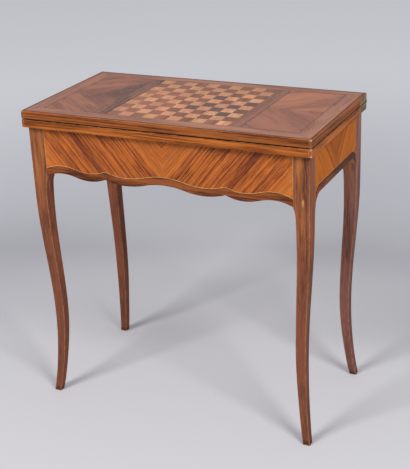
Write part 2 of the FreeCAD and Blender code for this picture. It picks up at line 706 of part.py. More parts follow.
def end_lipping(leaf_name, side_name, side, leaf_z, plate_z, plate_depth):
    """The strip at one end of a leaf, cut out for the hinge plate and for the knuckle."""
    name = f"{leaf_name}_{side_name}_lipping"
    strip_x = (inside_end(side, "0"), inside_end(side, "Sizes.lipping_width"))
    strip = lipping(name, strip_x, (FRONT, LEAF_BACK), leaf_z, outer=end_edges(side))
    room = "Sizes.joint_clearance"
    recess_x = (inside_end(side, OUTSIDE), inside_end(side, f"{plate_depth} + {room}"))
    recess_y = (f"{PLATE_Y[0]} - {room}", f"{LEAF_BACK} + {CUTTER_OVERRUN}")
    if leaf_name == "lower":
        recess_z = (f"{plate_z[0]} - {room}", f"{LOWER_TOP} + {CUTTER_OVERRUN}")
    else:
        recess_z = (f"{UPPER_BOTTOM} - {CUTTER_OVERRUN}", f"{plate_z[1]} + {room}")
    knuckle_depth = f"{BOTH_LAYERS} + Sizes.knuckle_clearance"
    tools = [box(name + "_recess", recess_x, recess_y, recess_z)]
    tools.append(ear(name + "_knuckle_room", side, OUTSIDE, knuckle_depth, EAR_ROOM))
    tools += hinge_screws(name + "_hole", side, plate_z, screw_hole)
    return cut(name + "_recessed", strip, tools)


LEAF_Z = {"lower": (LOWER_BOTTOM, LOWER_TOP), "upper": (UPPER_BOTTOM, UPPER_TOP)}
ACROSS = (negative(CORE_END), CORE_END)
for leaf_name, plate_z, plate_depth in LEAVES:
    leaf_z = LEAF_Z[leaf_name]
    group(
        leaf_name + "_end_lippings",
        [end_lipping(leaf_name, side_name, side, leaf_z, plate_z, plate_depth) for side_name, side in SIDES],
    )
    for face_name, span, outer in (
        ("front", (FRONT, CORE_FRONT), front_edges), ("back", (CORE_BACK, LEAF_BACK), back_edges)
    ):
        name = f"{leaf_name}_{face_name}_lipping"
        node(lipping(name + "_body", ACROSS, span, leaf_z, outer=outer), name)


# Inner faces: a veneer band round a field of baize, which lies a little below the band.

def ring_of_boards(label, outer_x, outer_y, width, span_z):
    """Four strips round a field: the front and back ones run through, the end ones lie between them."""
    inner_y = (f"{outer_y[0]} + {width}", f"{outer_y[1]} - {width}")
    strips = [
        box(label + "_front", outer_x, (outer_y[0], inner_y[0]), span_z),
        box(label + "_back", outer_x, (inner_y[1], outer_y[1]), span_z),
        box(label + "_left", (outer_x[0], f"{outer_x[0]} + {width}"), inner_y, span_z),
        box(label + "_right", (f"{outer_x[1]} - {width}", outer_x[1]), inner_y, span_z),
    ]
    return group(label, strips)


LOWER_CORE_Z = (LOWER_BOTTOM, f"{LOWER_TOP} - Sizes.veneer_thickness")
UPPER_CORE_Z = (f"{UPPER_BOTTOM} + Sizes.veneer_thickness", f"{UPPER_TOP} - Sizes.veneer_thickness")
CORE_Y = (CORE_FRONT, CORE_BACK)
BAIZE_X = (f"{ACROSS[0]} + Sizes.baize_border", f"{ACROSS[1]} - Sizes.baize_border")
BAIZE_Y = (f"{CORE_FRONT} + Sizes.baize_border", f"{CORE_BACK} - Sizes.baize_border")
ring_of_boards("lower_inner_banding", ACROSS, CORE_Y, "Sizes.baize_border", (LOWER_CORE_Z[1], LOWER_TOP))
ring_of_boards("upper_inner_banding", ACROSS, CORE_Y, "Sizes.baize_border", (UPPER_BOTTOM, UPPER_CORE_Z[0]))
LOWER_BAIZE_Z = (LOWER_CORE_Z[1], f"{LOWER_CORE_Z[1]} + Sizes.baize_thickness")
UPPER_BAIZE_Z = (UPPER_CORE_Z[0], f"{UPPER_CORE_Z[0]} - Sizes.baize_thickness")
node(box("lower_cloth", BAIZE_X, BAIZE_Y, LOWER_BAIZE_Z), "lower_baize")
node(box("upper_cloth", BAIZE_X, BAIZE_Y, UPPER_BAIZE_Z), "upper_baize")


# Swivel: a plate under the lower leaf holds a spindle that turns in the pivot rail of the frame.
# Two pegs under the leaf meet the back rail, one when the top is closed and one after a quarter turn.

PLATE_TOP = f"({LOWER_BOTTOM} + Sizes.pivot_plate_thickness)"
HEAD_TOP = f"({PLATE_TOP} + Sizes.pivot_head_height)"
RAIL_BOTTOM = f"({FRAME_TOP} - Sizes.pivot_rail_thickness)"
WASHER_TOP = f"({RAIL_BOTTOM} - Sizes.leaf_run)"
NUT_TOP = f"({WASHER_TOP} - Sizes.washer_thickness)"
NUT_BOTTOM = f"({NUT_TOP} - Sizes.nut_height)"
PEG_SWING = f"({RAIL_INNER_Y} - Sizes.stop_clearance - Sizes.stop_peg_radius - {PIVOT})"
INSIDE_PEG = f"({PEG_SWING} - Sizes.stop_peg_radius)"
PLATE_HALF = f"({INSIDE_PEG} - Sizes.peg_plate_gap)"
PEG_PLACES = [
    (f"{PIVOT} - {PEG_SWING}", f"{PIVOT} + {PEG_SWING}"),
    (f"{PIVOT} + {PEG_SWING}", f"{PIVOT} - {PEG_SWING}"),
]
PEG_TOP = f"{LOWER_BOTTOM} + Sizes.stop_peg_depth"


def around_pivot(half, room="0"):
    return (f"{PIVOT} - {half} - {room}", f"{PIVOT} + {half} + {room}")


def plate_screws(name, make):
    """Screws at the corners of the pivot plate, driven up into the leaf."""
    reach = f"({PLATE_HALF} - Sizes.screw_margin)"
    places = [
        (f"{PIVOT} + {across} * {reach}", f"{PIVOT} + {along} * {reach}", LOWER_BOTTOM)
        for across in (-1, 1) for along in (-1, 1)
    ]
    length = "Sizes.pivot_screw_length"
    down = (0, 0, -1)
    return [make(f"{name}_{number}", length, at, down) for number, at in enumerate(places)]


def bored(name, radius, low, high):
    """A hole on the swivel's axis, right through a piece between two planes."""
    return rod(name, radius, f"{low} - {CUTTER_OVERRUN}", f"{high} + {CUTTER_OVERRUN}", PIVOT, PIVOT)


def revolved(label, corners):
    """A turned piece on the swivel's axis, from half of its section."""
    body = new_body(label + "_turned")
    profile = outline(sketch_on(body, label + "_profile", "XZ_Plane", "0"), corners)
    turning = body.newObject("PartDesign::Revolution", label + "_turning")
    turning.Profile = profile
    turning.ReferenceAxis = (profile, ["V_Axis"])
    turning.Angle = 4 * QUARTER_TURN
    place(body, PIVOT, PIVOT)
    return node(body, label)


def ring(label, inner, outer, low, high):
    return revolved(label, [(inner, low), (outer, low), (outer, high), (inner, high)])


SPINDLE = "Sizes.pivot_radius"
SPINDLE_FIT = f"{SPINDLE} + Sizes.joint_clearance"
THREAD_END = f"{NUT_BOTTOM} - Sizes.thread_tail"
revolved("pivot_spindle", [
    ("0", THREAD_END), (SPINDLE, THREAD_END), (SPINDLE, PLATE_TOP),
    ("Sizes.pivot_head_radius", PLATE_TOP), ("Sizes.pivot_head_radius", HEAD_TOP), ("0", HEAD_TOP),
])
ring("pivot_washer", SPINDLE_FIT, "Sizes.washer_radius", NUT_TOP, WASHER_TOP)
ring("pivot_bush", f"{SPINDLE} + Sizes.running_clearance", "Sizes.bush_radius", RAIL_BOTTOM, FRAME_TOP)
hexagon = doc.addObject("Part::Prism", "pivot_nut_blank")
hexagon.Polygon = 6
hexagon.setExpression("Circumradius", "Sizes.nut_radius")
hexagon.setExpression("Height", "Sizes.nut_height")
place(hexagon, PIVOT, PIVOT, NUT_BOTTOM)
thread = bored("pivot_nut_thread", SPINDLE_FIT, NUT_BOTTOM, NUT_TOP)
node(cut("pivot_nut_threaded", hexagon, [thread]), "pivot_nut")

plate_square = around_pivot(PLATE_HALF)
plate_blank = box("pivot_plate_blank", plate_square, plate_square, (LOWER_BOTTOM, PLATE_TOP))
plate_holes = [bored("pivot_plate_eye", SPINDLE_FIT, LOWER_BOTTOM, PLATE_TOP)]
plate_holes += plate_screws("pivot_plate_hole", screw_hole)
node(cut("pivot_plate_drilled", plate_blank, plate_holes), "pivot_plate")
group("pivot_plate_screws", plate_screws("pivot_plate_screw", screw))
group("stop_pegs", [
    rod(f"stop_peg_{number}", "Sizes.stop_peg_radius", f"{LOWER_BOTTOM} - Sizes.stop_peg_drop", PEG_TOP, *at)
    for number, at in enumerate(PEG_PLACES)
])


# Cores: the solid boards that carry the veneers, bored for what is let into them.

ROOM = "Sizes.joint_clearance"
recess_square = around_pivot(PLATE_HALF, ROOM)
BELOW_LEAF = f"{LOWER_BOTTOM} - {CUTTER_OVERRUN}"
head_room = f"Sizes.pivot_head_radius + {ROOM}"
peg_room = f"Sizes.stop_peg_radius + {ROOM}"
lower_tools = [
    box("lower_core_plate_recess", recess_square, recess_square, (BELOW_LEAF, f"{PLATE_TOP} + {ROOM}")),
    rod("lower_core_head_recess", head_room, PLATE_TOP, f"{HEAD_TOP} + {ROOM}", PIVOT, PIVOT),
]
lower_tools += plate_screws("lower_core_plate_hole", screw_hole)
lower_tools += [
    rod(f"lower_core_peg_hole_{number}", peg_room, BELOW_LEAF, f"{PEG_TOP} + {ROOM}", *at)
    for number, at in enumerate(PEG_PLACES)
]
core_tools = {"lower": lower_tools, "upper": []}
core_z = {"lower": LOWER_CORE_Z, "upper": UPPER_CORE_Z}
for leaf_name, plate_z, _ in LEAVES:
    name = leaf_name + "_leaf_core"
    for side_name, side in SIDES:
        core_tools[leaf_name] += hinge_screws(f"{name}_{side_name}_hole", side, plate_z, screw_hole)
    board = box(name + "_board", ACROSS, CORE_Y, core_z[leaf_name])
    node(cut(name + "_bored", board, core_tools[leaf_name]), name)


# Marquetry of the top: a mitred border, two dividing bands, mirrored side panels and the chequered board.

TOP_Z = (UPPER_CORE_Z[1], UPPER_TOP)
BOARD_FRONT = f"({CORE_FRONT} + Sizes.front_border)"
BOARD_BACK = f"({CORE_BACK} - Sizes.back_border)"
BOARD_Y = (BOARD_FRONT, BOARD_BACK)
SQUARE = f"(({BOARD_BACK} - {BOARD_FRONT}) / {BOARD_SQUARES})"
BOARD_END = f"({SQUARE} * {BOARD_SQUARES} / 2)"
FIELD_END = f"({CORE_END} - Sizes.end_border)"
PANEL_START = f"({BOARD_END} + Sizes.divider_width)"


def mitred_strip(name, corners):
    body = new_body(name)
    profile = outline(sketch_on(body, name + "_profile", "XY_Plane", TOP_Z[0]), corners)
    pad(body, name + "_sheet", profile, "Sizes.veneer_thickness")
    return body


def corner_points(across):
    """Outer and inner corners of the border at one end of the top, front then back."""
    outer = [(f"{across} * {CORE_END}", CORE_FRONT), (f"{across} * {CORE_END}", CORE_BACK)]
    inner = [(f"{across} * {FIELD_END}", BOARD_FRONT), (f"{across} * {FIELD_END}", BOARD_BACK)]
    return outer, inner


left_outer, left_inner = corner_points(-1)
right_outer, right_inner = corner_points(1)
group("top_banding", [
    mitred_strip("top_banding_front", [left_outer[0], right_outer[0], right_inner[0], left_inner[0]]),
    mitred_strip("top_banding_back", [left_inner[1], right_inner[1], right_outer[1], left_outer[1]]),
    mitred_strip("top_banding_left", [left_outer[0], left_inner[0], left_inner[1], left_outer[1]]),
    mitred_strip("top_banding_right", [right_inner[0], right_outer[0], right_outer[1], right_inner[1]]),
])
group("top_dividers", [
    box(f"top_divider_{side_name}", (f"{side} * {BOARD_END}", f"{side} * {PANEL_START}"), BOARD_Y, TOP_Z)
    for side_name, side in SIDES
])
for side_name, side in SIDES:
    panel_x = (f"{side} * {PANEL_START}", f"{side} * {FIELD_END}")
    seam = midway(*BOARD_Y)
    group(f"top_panel_{side_name}", [
        box(f"top_panel_{side_name}_front", panel_x, (BOARD_FRONT, seam), TOP_Z),
        box(f"top_panel_{side_name}_back", panel_x, (seam, BOARD_BACK), TOP_Z),
    ])

squares = {"dark": [], "light": []}
for column in range(BOARD_SQUARES):
    for rank in range(BOARD_SQUARES):
        shade = "light" if (column + rank) % 2 else "dark"
        spans = [
            (f"{start} + {step} * {SQUARE}", f"{start} + {step + 1} * {SQUARE}")
            for start, step in ((negative(BOARD_END), column), (BOARD_FRONT, rank))
        ]
        squares[shade].append(box(f"{shade}_square_{column}_{rank}", *spans, TOP_Z))
for shade, pieces in squares.items():
    group(shade + "_squares", pieces)


# Inside the frame: the pivot rail on its blocks, and the well with its bottom on bearers.

PIVOT_RAIL_HALF = f"({INSIDE_PEG} - Sizes.peg_rail_gap)"
PIVOT_RAIL_X = around_pivot(PIVOT_RAIL_HALF)
INSIDE_Y = (negative(RAIL_INNER_Y), RAIL_INNER_Y)
pivot_board = box("pivot_rail_board", PIVOT_RAIL_X, INSIDE_Y, (RAIL_BOTTOM, FRAME_TOP))
bush_hole = bored("pivot_rail_hole", f"Sizes.bush_radius + {ROOM}", RAIL_BOTTOM, FRAME_TOP)
node(cut("pivot_rail_bored", pivot_board, [bush_hole]), "pivot_rail")
BLOCK_HALF = f"({PIVOT_RAIL_HALF} - Sizes.partition_thickness - Sizes.pivot_block_margin)"
BLOCK_Z = (f"{RAIL_BOTTOM} - Sizes.pivot_block", RAIL_BOTTOM)
group("pivot_rail_blocks", [
    box(f"pivot_rail_block_{name}", around_pivot(BLOCK_HALF),
        (f"{sign} * {RAIL_INNER_Y}", f"{sign} * ({RAIL_INNER_Y} - Sizes.pivot_block)"), BLOCK_Z)
    for name, sign in (("front", -1), ("back", 1))
])

WELL_FLOOR = f"({FRAME_TOP} - Sizes.well_depth)"
BOARD_BOTTOM = f"({WELL_FLOOR} - Sizes.well_board)"
BEARER_Z = (f"{BOARD_BOTTOM} - Sizes.bearer_height", BOARD_BOTTOM)
FIT = "Sizes.well_fit"
WELL_X = (f"-{RAIL_INNER_X} + {FIT}", PIVOT_RAIL_X[0])
WELL_Y = (f"-{RAIL_INNER_Y} + {FIT}", f"{RAIL_INNER_Y} - {FIT}")
node(box("well_wall", (PIVOT_RAIL_X[0], f"{PIVOT_RAIL_X[0]} + Sizes.partition_thickness"), INSIDE_Y,
         (BOARD_BOTTOM, RAIL_BOTTOM)), "well_partition")


def round_the_legs(name, span_z):
    """A sheet that fills the well, with its corners cut out round the leg blocks."""
    sheet = box(name + "_sheet", WELL_X, WELL_Y, span_z)
    notches = [
        box(f"{name}_notch_{number}", (f"-{SIDE_FACE}", f"-{FRONT_SHOULDER} + {FIT}"),
            (f"{sign} * ({SIDE_SHOULDER} - {FIT})", f"{sign} * {FRONT_FACE}"), span_z)
        for number, sign in enumerate((-1, 1))
    ]
    return cut(name + "_notched", sheet, notches)


node(round_the_legs("well_board", (BOARD_BOTTOM, WELL_FLOOR)), "well_bottom")
node(round_the_legs("well_cloth", (WELL_FLOOR, f"{WELL_FLOOR} + Sizes.baize_thickness")), "well_lining")
bearer_x = (f"-{FRONT_SHOULDER}", PIVOT_RAIL_X[0])
bearer_inner = f"({RAIL_INNER_Y} - Sizes.bearer_width)"
group("well_bearers", [
    box(f"well_bearer_{name}", bearer_x, (f"{sign} * {RAIL_INNER_Y}", f"{sign} * {bearer_inner}"), BEARER_Z)
    for name, sign in (("front", -1), ("back", 1))
] + [
    box("well_bearer_left", (f"-{RAIL_INNER_X}", f"-{RAIL_INNER_X} + Sizes.bearer_width"),
        (negative(SIDE_SHOULDER), SIDE_SHOULDER), BEARER_Z)
])


# Every piece is checked before any is written.

doc.recompute()
for part in doc.Objects:
    if "Invalid" in part.State or "Error" in part.State:
        raise RuntimeError(f"{part.Name} ({part.Label}) failed: {part.State}")
for part in nodes:
    if part.Shape.isNull() or not part.Shape.isValid() or not part.Shape.Solids:
        raise RuntimeError(f"{part.Label} has no valid solid")

os.makedirs("parts", exist_ok=True)
for part in nodes:
    part.Shape.exportStep(f"parts/{part.Label}.step")
print(f"{len(nodes)} nodes, {sum(len(part.Shape.Solids) for part in nodes)} solids")
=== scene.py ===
import math

import bmesh
import bpy
from mathutils import Matrix, Vector


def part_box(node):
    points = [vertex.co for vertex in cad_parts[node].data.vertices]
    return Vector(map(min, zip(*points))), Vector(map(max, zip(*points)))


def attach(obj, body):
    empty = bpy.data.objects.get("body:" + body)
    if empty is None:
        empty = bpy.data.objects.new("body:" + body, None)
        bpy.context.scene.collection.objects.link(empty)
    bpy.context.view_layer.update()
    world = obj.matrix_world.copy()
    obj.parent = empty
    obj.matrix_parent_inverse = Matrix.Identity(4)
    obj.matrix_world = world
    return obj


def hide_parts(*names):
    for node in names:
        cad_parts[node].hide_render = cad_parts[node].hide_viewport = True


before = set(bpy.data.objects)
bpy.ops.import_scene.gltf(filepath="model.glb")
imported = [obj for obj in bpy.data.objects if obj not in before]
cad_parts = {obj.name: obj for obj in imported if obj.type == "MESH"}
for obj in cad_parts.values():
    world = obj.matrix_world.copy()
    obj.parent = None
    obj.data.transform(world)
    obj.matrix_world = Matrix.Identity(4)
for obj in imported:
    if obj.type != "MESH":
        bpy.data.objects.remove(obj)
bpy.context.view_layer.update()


# Legs
# Four legs of red-brown hardwood, square in section, sawn to an S curve from the block down to the toe.
# The faces are scraped and waxed, and years of handling have rubbed the arrises pale. The back right leg is
# painted darker, for the shade that falls on it.

def tone(red, green, blue):
    """A colour as it looks, 0 to 255, as the linear colour that a shader takes."""
    return tuple(((part / 255 + 0.055) / 1.055) ** 2.4 for part in (red, green, blue)) + (1.0,)


def put(tree, kind, feeds=None, **settings):
    """A shader node with its settings chosen and its inputs fed by numbers or by other nodes."""
    made = tree.nodes.new("ShaderNode" + kind)
    for setting, choice in settings.items():
        setattr(made, setting, choice)
    for socket, source in (feeds or {}).items():
        if isinstance(source, bpy.types.NodeSocket):
            tree.links.new(source, made.inputs[socket])
        else:
            made.inputs[socket].default_value = source
    return made


def number(tree, operation, *values):
    """A number worked out from other numbers."""
    return put(tree, "Math", dict(enumerate(values)), operation=operation).outputs["Value"]


def vector(tree, operation, *values):
    """A vector worked out from other vectors."""
    return put(tree, "VectorMath", dict(enumerate(values)), operation=operation).outputs["Vector"]


def measure(tree, operation, *vectors):
    """A number worked out from vectors, such as the distance of two points."""
    return put(tree, "VectorMath", dict(enumerate(vectors)), operation=operation).outputs["Value"]


def parts_of(tree, point):
    """The X, Y and Z of a vector."""
    return put(tree, "SeparateXYZ", {0: point}).outputs


def joined(tree, *parts):
    """The vector of an X, Y and Z."""
    return put(tree, "CombineXYZ", dict(enumerate(parts))).outputs["Vector"]


def ease(tree, value, low, high, to_low=0.0, to_high=1.0):
    """Turns the stretch from low to high into a smooth step."""
    feeds = {"Value": value, "From Min": low, "From Max": high, "To Min": to_low, "To Max": to_high}
    return put(tree, "MapRange", feeds, interpolation_type="SMOOTHSTEP").outputs["Result"]


SOFT, FINE = 2.0, 3.0
MOTTLE_ROUGHNESS = 0.55
MOTTLE_MIDDLE = 0.5


def mottle(tree, point, per_metre, detail=SOFT):
    """Noise with so many spots to the metre, alike on all axes or given for each."""
    spots = per_metre if isinstance(per_metre, tuple) else (per_metre,) * 3
    place = vector(tree, "MULTIPLY", point, spots)
    feeds = {"Vector": place, "Scale": 1.0, "Detail": detail, "Roughness": MOTTLE_ROUGHNESS}
    return put(tree, "TexNoise", feeds).outputs[0]


def mixed(tree, amount, first, second, way="MIX"):
    """Two colours mixed: sockets 0, 6 and 7 are the amount and the colours of a Mix node."""
    feeds = {0: amount, 6: first, 7: second}
    return put(tree, "Mix", feeds, data_type="RGBA", blend_type=way).outputs[2]


def effect(name, inputs, outputs):
    """A node group with named sockets: the group, what it is given and what it puts out."""
    group = bpy.data.node_groups.new(name, "ShaderNodeTree")
    for socket, kind, start in inputs:
        made = group.interface.new_socket(socket, in_out="INPUT", socket_type="NodeSocket" + kind)
        made.default_value = start
    for socket, kind in outputs:
        group.interface.new_socket(socket, in_out="OUTPUT", socket_type="NodeSocket" + kind)
    return group, group.nodes.new("NodeGroupInput").outputs, group.nodes.new("NodeGroupOutput").inputs


PLAIN_WOOD = (tone(190, 120, 70), tone(110, 60, 40))
SWAY_SPOTS = (5, 14, 14)
SWAY = 0.008
LINE_RUN = 4.0
LINE_EDGE = (0.44, 0.60)
CLOUD_SPOTS = (6, 34, 34)
CLOUD_EDGE = (0.36, 0.64)
FLECK_SPOTS = (34, 330, 330)
FIBRE_SPOTS = (60, 2200, 2200)
FIBRE_EDGE = (0.3, 0.7)
FIBRE_SHADE = 0.35
PORE_SPOTS = (240, 3000, 3000)
PORE_EDGE = (0.60, 0.70)
PORE_SHADE = 0.35
PORE_TONE = tone(60, 32, 22)
WAX_ROUGHNESS = (0.36, 0.52)


def make_wood_figure():
    """Growth lines, clouds, flecks, fibres and pores of wood, for a point whose X runs along the grain."""
    inputs = [
        ("Grain", "Vector", (0, 0, 0)),
        ("Light", "Color", PLAIN_WOOD[0]),
        ("Dark", "Color", PLAIN_WOOD[1]),
        ("Stripe", "Float", 0.5),
        ("Spacing", "Float", 0.004),
        ("Cloud", "Float", 0.4),
        ("Fleck", "Float", 0.9),
    ]
    outputs = [("Color", "Color"), ("Height", "Float"), ("Roughness", "Float")]
    group, given, result = effect("wood_figure", inputs, outputs)
    grain = given["Grain"]
    parts = parts_of(group, grain)
    sway = number(group, "MULTIPLY_ADD", mottle(group, grain, SWAY_SPOTS), SWAY, parts["Y"])
    across = [number(group, "DIVIDE", part, given["Spacing"]) for part in (sway, parts["Z"])]
    lines_at = joined(group, number(group, "MULTIPLY", parts["X"], LINE_RUN), *across)
    lines = ease(group, mottle(group, lines_at, 1, FINE), *LINE_EDGE)
    clouds = ease(group, mottle(group, grain, CLOUD_SPOTS), *CLOUD_EDGE)
    flecks = mottle(group, grain, FLECK_SPOTS, FINE)
    fibres = mottle(group, grain, FIBRE_SPOTS)
    pores = ease(group, mottle(group, grain, PORE_SPOTS), *PORE_EDGE)
    amount = number(group, "MULTIPLY", lines, given["Stripe"])
    amount = number(group, "MULTIPLY_ADD", clouds, given["Cloud"], amount)
    for marks, share in ((fibres, FIBRE_SHADE), (flecks, given["Fleck"])):
        about_zero = number(group, "SUBTRACT", marks, MOTTLE_MIDDLE)
        amount = number(group, "MULTIPLY_ADD", about_zero, share, amount)
    colour = mixed(group, number(group, "MINIMUM", amount, 1.0), given["Light"], given["Dark"])
    colour = mixed(group, number(group, "MULTIPLY", pores, PORE_SHADE), colour, PORE_TONE)
    group.links.new(colour, result["Color"])
    group.links.new(number(group, "SUBTRACT", fibres, pores), result["Height"])
    group.links.new(ease(group, fibres, *FIBRE_EDGE, *WAX_ROUGHNESS), result["Roughness"])
    return group


EDGE_RAYS = 6
ARRIS_TURN = (0.008, 0.12)
ROUND_TURN = (0.35, 0.6)
EDGE_SPOTS = 70
EDGE_PATCHES = (0.36, 0.62, 0.25, 1.0)


def make_arris():
    """Where a face comes near one of its own edges, sharp or rounded, broken up in patches; it marks worn
    edges, dark joints and painted edge shade.
    """
    inputs = [("Radius", "Float", 0.001), ("Rounded", "Float", 0.0)]
    group, given, result = effect("arris", inputs, [("Mask", "Float")])
    softened = put(group, "Bevel", {"Radius": given["Radius"]}, samples=EDGE_RAYS).outputs["Normal"]
    true = put(group, "NewGeometry").outputs["Normal"]
    turn = measure(group, "DOT_PRODUCT", softened, true)
    near = ease(group, number(group, "SUBTRACT", 1.0, turn), *ARRIS_TURN)
    place = put(group, "TexCoord").outputs
    x, y, z = parts_of(group, vector(group, "ABSOLUTE", place["Normal"]))
    lesser, greater = number(group, "MINIMUM", x, y), number(group, "MAXIMUM", x, y)
    between = number(group, "MAXIMUM", lesser, number(group, "MINIMUM", greater, z))
    on_round = number(group, "MULTIPLY", ease(group, between, *ROUND_TURN), given["Rounded"])
    near = number(group, "MAXIMUM", near, on_round)
    patches = ease(group, mottle(group, place["Object"], EDGE_SPOTS, FINE), *EDGE_PATCHES)
    group.links.new(number(group, "MULTIPLY", near, patches), result["Mask"])
    return group


SHADE_AND_DIRT_SHUT = (0.25, 0.85)
SHADE_AND_DIRT_SPOTS = 40
SHADE_AND_DIRT_PATCHES = (0.3, 0.6, 0.5, 1.0)
SHADE_AND_DIRT_TONE = tone(48, 28, 20)


def make_shade_and_dirt():
    """Darkening where two pieces meet, found by ambient occlusion: dust and old wax, and painted shade."""
    group, given, result = effect("shade_and_dirt", [("Reach", "Float", 0.012)], [("Mask", "Float")])
    reach = {"Distance": given["Reach"]}
    open_sky = put(group, "AmbientOcclusion", reach, samples=EDGE_RAYS).outputs["AO"]
    shut = ease(group, number(group, "SUBTRACT", 1.0, open_sky), *SHADE_AND_DIRT_SHUT)
    point = put(group, "TexCoord").outputs["Object"]
    patches = ease(group, mottle(group, point, SHADE_AND_DIRT_SPOTS, FINE), *SHADE_AND_DIRT_PATCHES)
    group.links.new(number(group, "MULTIPLY", shut, patches), result["Mask"])
    return group


WOOD_FIGURE = make_wood_figure()
ARRIS = make_arris()
SHADE_AND_DIRT = make_shade_and_dirt()


def recolour(name, inputs=()):
    """A node group that recolours the wood, with real stains or with painted shade and reflection: the group,
    its inputs, the point and the result.
    """
    sockets = [("Color", "Color", PLAIN_WOOD[0]), *inputs]
    group, given, result = effect(name, sockets, [("Color", "Color")])
    return group, given, put(group, "TexCoord").outputs["Object"], result["Color"]


def run_along(along, across):
    """Grain that runs one way over the table, with its growth lines spread another way."""
    axes = (Vector(along), Vector(across), Vector(along).cross(Vector(across)))

    def grain(tree, point):
        return joined(tree, *[measure(tree, "DOT_PRODUCT", point, tuple(axis)) for axis in axes])

    return grain


ALONG_X = run_along((1, 0, 0), (0, 0, 1))
ALONG_Y = run_along((0, 1, 0), (0, 0, 1))
ALONG_Z = run_along((0, 0, 1), (1, 0, 0))


def new_finish(name):
    """A material with nothing in it yet, its node tree, and the point of the table that it colours."""
    material = bpy.data.materials.new(name)
    material.use_nodes = True
    tree = material.node_tree
    tree.nodes.clear()
    return material, tree, put(tree, "TexCoord").outputs["Object"]


RUBBED_TONE = tone(206, 142, 92)
SHADE_AND_DIRT_SHARE = 0.6
WOOD_BUMP = {"Strength": 0.10, "Distance": 0.0004}
COAT_ROUGHNESS = 0.25


def polished_wood(name, light, dark, grain, stripe=0.5, spacing=0.004, cloud=0.4, fleck=0.9, edge=0.0012,
                  edge_share=0.5, edge_tone=RUBBED_TONE, rounded=0.0, sheen=0.2, coat=0.0, recolours=()):
    """Waxed wood. The recolours, each with its values, come before the edge tones, worn pale or painted dark
    as shade, and before the corners, darkened with dust and painted shade.
    """
    material, tree, point = new_finish(name)
    wood = put(tree, "Group", {
        "Grain": grain(tree, point), "Light": light, "Dark": dark, "Stripe": stripe, "Spacing": spacing,
        "Cloud": cloud, "Fleck": fleck,
    }, node_tree=WOOD_FIGURE).outputs
    colour = wood["Color"]
    for group, values in recolours:
        colour = put(tree, "Group", {"Color": colour, **values}, node_tree=group).outputs["Color"]
    arris = put(tree, "Group", {"Radius": edge, "Rounded": rounded}, node_tree=ARRIS).outputs["Mask"]
    colour = mixed(tree, number(tree, "MULTIPLY", arris, edge_share), colour, edge_tone)
    # Painted shade with dust: corners where pieces meet are darkened where occlusion shuts out the light.
    shade_and_dirt = put(tree, "Group", node_tree=SHADE_AND_DIRT).outputs["Mask"]
    colour = mixed(tree, number(tree, "MULTIPLY", shade_and_dirt, SHADE_AND_DIRT_SHARE), colour, SHADE_AND_DIRT_TONE)
    bump = put(tree, "Bump", {"Height": wood["Height"], **WOOD_BUMP})
    shader = put(tree, "BsdfPrincipled", {
        "Base Color": colour, "Roughness": wood["Roughness"], "Normal": bump.outputs["Normal"],
        "Specular IOR Level": sheen, "Coat Weight": coat, "Coat Roughness": COAT_ROUGHNESS,
    })
    put(tree, "OutputMaterial", {"Surface": shader.outputs["BSDF"]})
    return material


def dress(material, *names):
    """Gives CAD nodes their finish."""
    for name in names:
        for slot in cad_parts[name].material_slots:
            slot.material = material


GOLDEN_ABOVE = (0.46, 0.62)
GOLDEN_SPOTS = (70, 70, 4)
GOLDEN_STREAKS = (0.46, 0.66, 0.0, 0.5)
GOLDEN_TONE = tone(196, 124, 58)
DUSTY_BELOW = (0.25, 0.60, 0.45, 0.0)
DUSTY_TONE = tone(108, 66, 56)
PALE_MARK = (0.329, -0.1755, 0.595)
PALE_MARK_SIZE = (0.0035, 0.005, 0.011)
PALE_MARK_SPOTS = (500, 500, 90)
PALE_MARK_EDGE = (0.7, 1.5, 0.7, 0.0)
PALE_MARK_TONE = tone(216, 160, 92)
TOE = 0.014
TOE_SPOTS = 160
TOE_EDGE = (-0.2 * TOE, 0.6 * TOE, 0.6, 0.0)


def make_leg_age():
    """Golden streaks at the top, one pale mark, greyer towards the floor, and dark toes."""
    group, given, point, result = recolour("leg_age")
    height = parts_of(group, point)["Z"]
    streaks = ease(group, mottle(group, point, GOLDEN_SPOTS), *GOLDEN_STREAKS)
    golden = number(group, "MULTIPLY", streaks, ease(group, height, *GOLDEN_ABOVE))
    colour = mixed(group, golden, given["Color"], GOLDEN_TONE)
    colour = mixed(group, ease(group, height, *DUSTY_BELOW), colour, DUSTY_TONE)
    from_mark = vector(group, "SUBTRACT", point, PALE_MARK)
    away = measure(group, "LENGTH", vector(group, "DIVIDE", from_mark, PALE_MARK_SIZE))
    frayed = number(group, "ADD", away, mottle(group, point, PALE_MARK_SPOTS))
    colour = mixed(group, ease(group, frayed, *PALE_MARK_EDGE), colour, PALE_MARK_TONE)
    ragged = number(group, "MULTIPLY_ADD", mottle(group, point, TOE_SPOTS), -TOE, height)
    group.links.new(mixed(group, ease(group, ragged, *TOE_EDGE), colour, SHADE_AND_DIRT_TONE), result)
    return group


LEG = (tone(154, 92, 62), tone(74, 45, 37))
SHADED_LEG = (tone(152, 103, 89), tone(79, 56, 52))
leg_look = dict(
    stripe=0.35, spacing=0.003, cloud=0.4, fleck=1.6, edge=0.0042, edge_share=0.7, rounded=1.0, sheen=0.04,
    recolours=[(make_leg_age(), {})]
)
leg_wood = polished_wood("leg_wood", *LEG, ALONG_Z, **leg_look)
dress(leg_wood, "leg_front_left", "leg_front_right", "leg_back_left")
# Painted shade: the back right leg takes a darker, greyer copy of the leg wood for the shade it stands in.
dress(polished_wood("shaded_leg_wood", *SHADED_LEG, ALONG_Z, **leg_look), "leg_back_right")


# Rails
# Four plain rails of pale secondary wood, tenoned into the leg blocks and left unpolished inside.
# Only their inner faces and lower edges can be seen, from below or when the top is turned.

